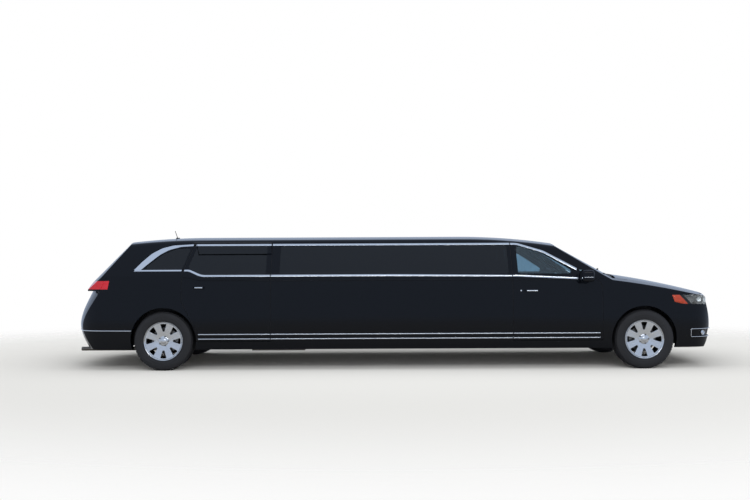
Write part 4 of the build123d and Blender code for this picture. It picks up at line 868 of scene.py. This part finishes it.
class StageLook(bpy.types.PropertyGroup):
    """Floor, light and camera."""

    floor: bpy.props.FloatVectorProperty(
        name="Floor colour", description="Colour of the floor", default=linear("#d6d6d4")[:3],
        subtype="COLOR", size=3,
    )
    distance: bpy.props.FloatProperty(
        name="Camera distance", description="From the camera to the middle plane", default=10.35,
        unit="LENGTH",
    )
    height: bpy.props.FloatProperty(
        name="Camera height", description="Height of the lens over the ground", default=1.35, unit="LENGTH"
    )


class LIMO_OT_stage(bpy.types.Operator):
    """Floor, backdrop, lights and the camera at the photograph's angle"""

    bl_idname = "limo.stage"
    bl_label = "Stage"

    def floor(self, look):
        """A matt floor that fades out round the car and shows darker in mirror images."""
        bm = bmesh.new()
        bmesh.ops.create_grid(bm, x_segments=1, y_segments=1, size=FLOOR_REACH)
        floor = new_mesh("floor", bm)
        ground = bpy.data.materials.new("floor_matt")
        tree = cleared(ground)
        rays = add(tree, "ShaderNodeLightPath")
        bright, dark = (
            add(tree, "ShaderNodeBsdfDiffuse", {"Color": colour, "Roughness": 0.9}).outputs[0]
            for colour in ((*look.floor, 1), linear(FLOOR_IN_MIRRORS))
        )
        lit = blend(tree, rays.outputs["Is Glossy Ray"], bright, dark)
        spot = add(tree, "ShaderNodeTexCoord")
        flat = add(
            tree, "ShaderNodeVectorMath", {0: spot.outputs["Object"], 1: FADE_SHAPE}, operation="MULTIPLY"
        )
        away = add(tree, "ShaderNodeVectorMath", {0: flat.outputs[0]}, operation="LENGTH")
        fade = add(
            tree,
            "ShaderNodeMapRange",
            {
                "Value": away.outputs["Value"], "From Min": FADE[0], "From Max": FADE[1],
                "To Min": 0.0, "To Max": 1.0,
            },
            interpolation_type="SMOOTHSTEP",
        )
        clear = add(tree, "ShaderNodeBsdfTransparent")
        shown = blend(tree, fade.outputs[0], lit, clear.outputs[0])
        add(tree, "ShaderNodeOutputMaterial", {"Surface": shown})
        paint(floor, ground)

    def backdrop(self, scene):
        """A white backdrop that lights the car softly and mirrors in it as pale sky."""
        scene.world = bpy.data.worlds.new("studio")
        tree = cleared(scene.world)
        path = add(tree, "ShaderNodeLightPath")
        seen = compute(
            tree, "MAXIMUM", path.outputs["Is Camera Ray"], path.outputs["Is Transmission Ray"]
        )
        plain, shiny, shown = (
            add(tree, "ShaderNodeBackground", {"Color": linear(code), "Strength": strength}).outputs[0]
            for code, strength in SKY
        )
        lit = blend(tree, path.outputs["Is Glossy Ray"], plain, shiny)
        add(tree, "ShaderNodeOutputWorld", {"Surface": blend(tree, seen, lit, shown)})

    def lights(self, scene):
        """Area lights over and beside the car."""
        for name, at, aim, size, power, glossy in LIGHTS:
            light = bpy.data.lights.new(name, "AREA")
            light.shape = "RECTANGLE"
            light.size, light.size_y = size
            light.energy = power
            lamp = bpy.data.objects.new(name, light)
            lamp.location = at
            lamp.rotation_euler = (Vector(aim) - Vector(at)).to_track_quat("-Z", "Y").to_euler()
            lamp.visible_glossy = glossy
            scene.collection.objects.link(lamp)

    def camera(self, scene, look):
        """The camera where the photograph was taken from."""
        data = bpy.data.cameras.new("camera")
        data.sensor_width = SENSOR
        data.lens = SENSOR * FOCAL / PICTURE_WIDTH
        data.clip_end = 200.0
        camera = bpy.data.objects.new("camera", data)
        upright = Matrix.Rotation(math.pi / 2 + math.atan(HORIZON_DROP / FOCAL), 4, "X")
        turn = upright @ Matrix.Rotation(CAMERA_ROLL, 4, "Z")
        camera.matrix_world = Matrix.Translation((CAMERA_X, -look.distance, look.height)) @ turn
        scene.collection.objects.link(camera)
        scene.camera = camera

    def execute(self, context):
        scene = context.scene
        scene.view_settings.view_transform = "Standard"
        self.floor(scene.limo_stage)
        self.backdrop(scene)
        self.lights(scene)
        self.camera(scene, scene.limo_stage)
        return {"FINISHED"}


class LIMO_OT_finishes(bpy.types.Operator):
    """Finishes of the CAD nodes that keep their shape"""

    bl_idname = "limo.finishes"
    bl_label = "Finishes of the frame"

    def execute(self, context):
        for name, nodes in KEPT.items():
            for node in nodes:
                paint(NODES[node], finish(name))
        return {"FINISHED"}


class LIMO_OT_tyres(bpy.types.Operator):
    """Four tyres with their sidewalls and tread blocks"""

    bl_idname = "limo.tyres"
    bl_label = "Tyres"

    def execute(self, context):
        tread = context.scene.limo_sizes.tread
        inner = tuple((-out, r) for out, r in reversed(TYRE_PROFILE[1:]))
        for place, hand, side in CORNERS:
            node = f"tyre_{place}_{hand}"
            at = middle(node)
            parts = [turned("carcass", TYRE_PROFILE + inner, "rubber_moulded", TYRE_SEGMENTS, side, at)]
            for out, wide, long, count, drop in TREAD_ROWS:
                radius = TREAD_R * MM + (tread - BLOCK_ROOT) / 2 - drop * MM
                for way in ((side, -side) if out else (side,)):
                    bm = bmesh.new()
                    block(bm, (tread + BLOCK_ROOT, long * MM, wide * MM))
                    bmesh.ops.bevel(bm, geom=bm.edges[:], offset=BLOCK_BEVEL, segments=1, affect="EDGES")
                    piece = new_mesh("block", bm)
                    parts.append(round_axle(piece, radius, count, "rubber_moulded", at, way * out * MM))
            seat_piece(merge(f"{node}_moulded", parts), f"{place}_wheel_{hand}", "tyre_rubber", node)
        return {"FINISHED"}


class LIMO_OT_wheels(bpy.types.Operator):
    """Four chromed eight-spoke wheels with cap, nuts and brake disc"""

    bl_idname = "limo.wheels"
    bl_label = "Wheels"

    def cutter(self, side, at):
        """The openings between the spokes as closed forms."""
        bm = bmesh.new()
        outline = rounded(HOLE_OUTLINE, HOLE_CORNER, True, HOLE_STEP)
        for i in range(SPOKES):
            a = math.pi / 2 + 2 * math.pi * i / SPOKES
            cos, sin = math.cos(a), math.sin(a)
            spots = [(p.x * cos - p.y * sin, p.x * sin + p.y * cos) for p in outline]
            ends = []
            for depth in HOLE_ENDS:
                y = at[1] + side * depth * MM
                ends.append([bm.verts.new((at[0] + x * MM, y, at[2] + z * MM)) for x, z in spots])
            prism(bm, *ends)
        return new_mesh("cutter", bm)

    def face(self, side, at):
        """The wheel's face with its openings and softened edges."""
        face = turned("face", FACE_PROFILE, "chrome_wheel", FACE_SEGMENTS, side, at)
        cutter = self.cutter(side, at)
        boolean = face.modifiers.new("holes", "BOOLEAN")
        boolean.operation = "DIFFERENCE"
        boolean.solver = "EXACT"
        boolean.object = cutter
        bevel = face.modifiers.new("edges", "BEVEL")
        bevel.width = FACE_BEVEL
        bevel.segments = 3
        bevel.limit_method = "ANGLE"
        bevel.angle_limit = math.radians(50)
        made = evaluated(face)
        bpy.data.objects.remove(cutter)
        return paint(made, finish("chrome_wheel"))

    def nuts(self, lug, side, at):
        """The wheel nuts on their circle."""
        foot, head = NUT_RADII
        bm = bmesh.new()
        bmesh.ops.create_cone(
            bm, cap_ends=True, segments=6, radius1=foot, radius2=head, depth=NUT_LENGTH
        )
        return round_axle(new_mesh("nut", bm), lug, LUGS, "steel_turned", at, side * NUT_OUT)

    def execute(self, context):
        for place, hand, side in CORNERS:
            node = f"wheel_{place}_{hand}"
            at = middle(f"tyre_{place}_{hand}")
            parts = [self.face(side, at)]
            for name, profile, segments, look in WHEEL_PARTS:
                parts.append(turned(name, profile, look, segments, side, at))
            parts.append(self.nuts(context.scene.limo_sizes.lug, side, at))
            seat_piece(merge(f"{node}_chromed", parts), f"{place}_wheel_{hand}", "bright_metal", node)
        return {"FINISHED"}


class LIMO_OT_brightwork(bpy.types.Operator):
    """Bright bands, strips, handle inserts and lines, with the door seals, belt caps and shoulder line"""

    bl_idname = "limo.brightwork"
    bl_label = "Brightwork"

    def bead(self, name, runs, radius, body, closed=False):
        """A round bright bead on a body."""
        seat_piece(tube(name, runs, radius, "chrome_trim", closed=closed), body, "bright_metal")

    def dark_trim(self, sizes, hand, side):
        """The painted shoulder line and the rubber door seals of one side."""
        for place, line in SHOULDER_RUNS:
            run = on_skin(line, side, SHOULDER_CORNER)
            made = tube(f"{place}_shoulder_{hand}", [run], SHOULDER_R, "enamel_black_lacquered")
            seat_piece(made, carrier(place, hand), "paint_black")
        for place, line in DOOR_SEALS:
            for label, depth, radius in SEAL_PARTS:
                inward = Vector((0, -side * sizes.seal_depth * depth, 0))
                run = [p + inward for p in on_skin(line, side)]
                made = tube(f"door_seal_{label}_{place}_{hand}", [run], radius, "rubber_moulded", SEAL_SIDES)
                seat_piece(made, "body", "black_plastic")

    def execute(self, context):
        sizes = context.scene.limo_sizes
        for hand, side in SIDES:
            for place, label, lower, upper in WINDOW_BANDS:
                made = band(f"{place}_{label}_band_{hand}", lower, upper, side, sizes.proud, "chrome_trim")
                seat_piece(made, carrier(place, hand), "bright_metal")
            for place, label, inner, outer in BELT_CAPS:
                name = f"{place}_belt_cap_{label}_{hand}"
                made = band(name, inner, outer, side, CAP_PROUD, "enamel_black_lacquered", CAP_SECTIONS)
                seat_piece(made, carrier(place, hand), "paint_black")
            for place, line in HANDLE_LINES:
                handle = on_skin(line, side)
                self.bead(f"{place}_handle_bead_{hand}", [handle], HANDLE_R, carrier(place, hand))
            self.dark_trim(sizes, hand, side)
            for place, start, stop in SILL_RUNS:
                runs = [on_skin(((start, z), (stop, z)), side) for z in SILL_HEIGHTS]
                self.bead(f"sill_strip_{place}_{hand}", runs, sizes.sill_bead, carrier(place, hand))
            mirror = on_skin(MIRROR_LINE, side)
            self.bead(f"mirror_line_{hand}", [mirror], MIRROR_LINE_R, f"front_door_{hand}")
            fog = on_skin(FOG_OUTLINE, side, FOG_CORNER, True)
            self.bead(f"fog_outline_{hand}", [fog], FOG_OUTLINE_R, "body", closed=True)
        self.bead("rear_bumper_strip", [wrap(*BUMPER_STRIP)], BUMPER_STRIP_R, "body")
        return {"FINISHED"}


class LIMO_OT_lamps(bpy.types.Operator):
    """Lenses, reflectors and bulbs of the head lamps, red tail lamps and fog lamps"""

    bl_idname = "limo.lamps"
    bl_label = "Lamps"

    def split(self, name, outward, wall, look):
        """The faces of the head lamps that look outward, or the rest, as a thin wall of their own."""
        bm = bmesh.new()
        bm.from_mesh(NODES["headlamps"].data)
        bmesh.ops.remove_doubles(bm, verts=bm.verts[:], dist=1e-5)
        drop = []
        for face in bm.faces:
            spot = face.calc_center_median()
            away = Vector((spot.x - LAMP_FOCUS, spot.y, 0)).normalized()
            if (face.normal.dot(away) > LAMP_LEAN) != outward:
                drop.append(face)
        bmesh.ops.delete(bm, geom=drop, context="FACES")
        obj = new_mesh(name, bm)
        thick = obj.modifiers.new("wall", "SOLIDIFY")
        thick.thickness = wall
        thick.offset = -1.0
        return paint(evaluated(obj), finish(look))

    def two_colours(self, lens):
        """Part the lens by its black bar and make the rear part amber."""
        (x0, z0), (x1, z1) = LAMP_BAR
        spot = Vector(((x0 + x1) / 2 * MM, 0, (z0 + z1) / 2 * MM))
        normal = Vector((z0 - z1, 0, x1 - x0)).normalized()
        half = LAMP_BAR_HALF * MM
        bm = bmesh.new()
        bm.from_mesh(lens.data)
        for shift in (-half, half):
            everything = bm.verts[:] + bm.edges[:] + bm.faces[:]
            bmesh.ops.bisect_plane(bm, geom=everything, plane_co=spot + normal * shift, plane_no=normal)
        for face in bm.faces:
            away = (face.calc_center_median() - spot).dot(normal)
            face.material_index = 0 if away > half else 1 if away < -half else 2
        bm.to_mesh(lens.data)
        bm.free()
        lens.data.materials.append(finish("lens_amber"))
        lens.data.materials.append(finish("polypropylene_black"))

    def reflector(self, side, bearing, height, radius):
        """A reflector with its bulb behind the clear lens."""
        a = math.radians(bearing)
        way = Vector((math.sin(a), side * math.cos(a), 0))
        hub = Vector((LAMP_HUB[0] * MM, side * LAMP_HUB[1] * MM, height * MM))
        at = skin_tree().ray_cast(hub + way * DISH_RAY, -way)[0] - way * DISH_SUNK
        dish = [(out, r * radius / DISH_RADIUS) for out, r in DISH_PROFILE]
        return [
            turned_along("dish", at, way, dish, "reflector_metallised"),
            turned_along("bulb", at, way, BULB_PROFILE, "mirror_silvered", 20),
        ]

    def fog_lamp(self, hand, side):
        """A fog lamp in its bright ring."""
        at = skin(FOG_LAMP[0] * MM, FOG_LAMP[1] * MM, side)
        way = Vector((FOG_WAY[0], side * FOG_WAY[1], 0))
        parts = [turned_along(name, at + way * out, way, line, look) for name, out, line, look in FOG_PIECES]
        seat_piece(merge("fog_lamp_" + hand, parts), "body", "lamp_lens")

    def execute(self, context):
        lens = self.split("headlamp_lens", True, LENS_WALL, "lens_clear")
        self.two_colours(lens)
        parts = [self.split("headlamp_housing", False, HOUSING_WALL, "polypropylene_black")]
        for _, side in SIDES:
            for lamp in LAMP_DISHES:
                parts += self.reflector(side, *lamp)
        seat_piece(lens, "body", "lamp_lens", "headlamps")
        seat_piece(merge("headlamp_insides", parts), "body", "black_plastic")
        for node in ("tail_lamps", "liftgate_lamp"):
            paint(NODES[node], finish("lens_red"))
        for hand, side in SIDES:
            self.fog_lamp(hand, side)
        return {"FINISHED"}


class LIMO_OT_fittings(bpy.types.Operator):
    """Mirror glasses, door locks and windscreen wipers"""

    bl_idname = "limo.fittings"
    bl_label = "Fittings"

    def on_glass(self, label, start, stop, part):
        """A round rod lying some way over the windscreen between two places across and up."""
        lift, radius, count = part
        line = [(AHEAD, *spot) for spot in spaced([start, stop], count)]
        rod = on_node("windshield", line, (-1, 0, 0), lift)
        return tube(label, [rod], radius, "polypropylene_black", WIPER_SIDES)

    def execute(self, context):
        wide, high = (half * MM for half in MIRROR_HALVES)
        square = ((-wide, -high), (wide, -high), (wide, high), (-wide, high))
        outline = rounded(square, MIRROR_CORNER * MM, True, 0.2)
        stand = Matrix.Rotation(math.pi / 2, 4, "Z") @ Matrix.Rotation(math.pi / 2, 4, "X")
        x, y, z = (value * MM for value in MIRROR_GLASS)
        for hand, side in SIDES:
            place = Matrix.Translation((x, side * y, z)) @ stand
            glass = plate(f"mirror_glass_{hand}", outline, MIRROR_THICK, place, "mirror_silvered")
            seat_piece(glass, f"front_door_{hand}", "bright_metal")
            spot = skin(LOCK[0] * MM, LOCK[1] * MM, side)
            lock = turned_along(f"door_lock_{hand}", spot, (0, side, 0), LOCK_PROFILE, "chrome_trim", 24)
            seat_piece(lock, f"front_door_{hand}", "bright_metal")
        for name, *ends in WIPERS:
            start, stop, pivot = (Vector(end) for end in ends)
            blade = self.on_glass("blade", start, stop, BLADE)
            arm = self.on_glass("arm", pivot, (start + stop) / 2, ARM)
            seat_piece(merge(name, [blade, arm]), "body", "black_plastic")
        return {"FINISHED"}


class LIMO_OT_seats(bpy.types.Operator):
    """Padded seats of the driver and the cabin"""

    bl_idname = "limo.seats"
    bl_label = "Seats"

    def cushion(self, name, size, place, channels, look, crown=CROWN):
        """A crowned cushion with sewn channels across its upper side, moved to its place."""
        bm = bmesh.new()
        bmesh.ops.create_cube(bm, size=2)
        bmesh.ops.subdivide_edges(bm, edges=bm.edges[:], cuts=CUSHION_CUTS, use_grid_fill=True)
        for v in bm.verts:
            u = v.co.copy()
            norm = sum(abs(c) ** CUSHION_POWER for c in u) ** (1 / CUSHION_POWER)
            v.co = [c / norm * length / 2 for c, length in zip(u, size)]
            if u.z > UPPER_SIDE:
                ridge = abs(math.sin(math.pi * channels * (u.x + 1) / 2)) if channels else 1.0
                sewn = CHANNEL_DEPTH * (1 - ridge) ** 4 * (1 - max(abs(u.x), abs(u.y)) ** 6)
                v.co.z += crown * (1 - u.x * u.x) * (1 - u.y * u.y) - sewn
        bm.transform(place)
        return paint(new_mesh(name, bm, 80), finish(look))

    def leaning(self, table, floor, y, look):
        """The cushions of one place that faces forward."""
        parts = []
        for name, size, x, up, lean, channels, crown in table:
            place = Matrix.Translation((x, y, floor + up)) @ Matrix.Rotation(math.radians(lean), 4, "Y")
            parts.append(self.cushion(name, size, place, channels, look, crown))
        return parts

    def execute(self, context):
        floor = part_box("front_seats")[0].z
        for hand, side in SIDES:
            parts = self.leaning(FRONT_SEAT, floor, side * FRONT_SEAT_Y, "leather_stone")
            bm = bmesh.new()
            block(bm, RUNNER, (FRONT_SEAT[0][2], side * FRONT_SEAT_Y, floor + RUNNER_UP))
            bmesh.ops.bevel(bm, geom=bm.edges[:], offset=RUNNER_BEVEL, segments=2, affect="EDGES")
            parts.append(paint(new_mesh("runner", bm), finish("plastic_cabin")))
            seat = merge(f"front_seat_{hand}", parts)
            seat_piece(seat, "body", "seat_leather", *(("front_seats",) if side > 0 else ()))
        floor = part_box("lounge_seats")[0].z
        parts = []
        for i in (-1, 0, 1):
            parts += self.leaning(REAR_BENCH, floor, i * REAR_BENCH_STEP, "leather_black")
        bench = merge("rear_bench", parts)
        seat_piece(bench, "body", "seat_leather", "lounge_seats")
        parts = []
        for i in range(4):
            x = SIDE_BENCH_START + SIDE_BENCH_STEP * (i + 0.5)
            for name, size, y, up, lean, channels in SIDE_BENCH:
                place = Matrix.Translation((x, y, floor + up)) @ Matrix.Rotation(math.radians(lean), 4, "X")
                parts.append(self.cushion(name, size, place, channels, "leather_black"))
        side_bench = merge("side_bench", parts)
        seat_piece(side_bench, "body", "seat_leather")
        return {"FINISHED"}


class LIMO_PT_panel(bpy.types.Panel):
    """Lists the steps that dress the limousine"""

    bl_label = "Limousine"
    bl_idname = "LIMO_PT_panel"
    bl_space_type = "VIEW_3D"
    bl_region_type = "UI"
    bl_category = "Limousine"

    def draw(self, context):
        layout = self.layout
        for step in STEPS:
            layout.operator(step.bl_idname)
        for group in (context.scene.limo_sizes, context.scene.limo_stage):
            for key in group.__annotations__:
                layout.prop(group, key)


STEPS = (
    LIMO_OT_stage, LIMO_OT_finishes, LIMO_OT_tyres, LIMO_OT_wheels, LIMO_OT_brightwork, LIMO_OT_lamps,
    LIMO_OT_fittings, LIMO_OT_seats,
)
CLASSES = (LimousineSizes, StageLook, *STEPS, LIMO_PT_panel)


def register():
    for cls in CLASSES:
        bpy.utils.register_class(cls)
    bpy.types.Scene.limo_sizes = bpy.props.PointerProperty(type=LimousineSizes)
    bpy.types.Scene.limo_stage = bpy.props.PointerProperty(type=StageLook)


def unregister():
    del bpy.types.Scene.limo_stage
    del bpy.types.Scene.limo_sizes
    for cls in reversed(CLASSES):
        bpy.utils.unregister_class(cls)


def main():
    register()
    for step in STEPS:
        group, name = step.bl_idname.split(".")
        getattr(getattr(bpy.ops, group), name)()


if __name__ == "__main__":
    main()
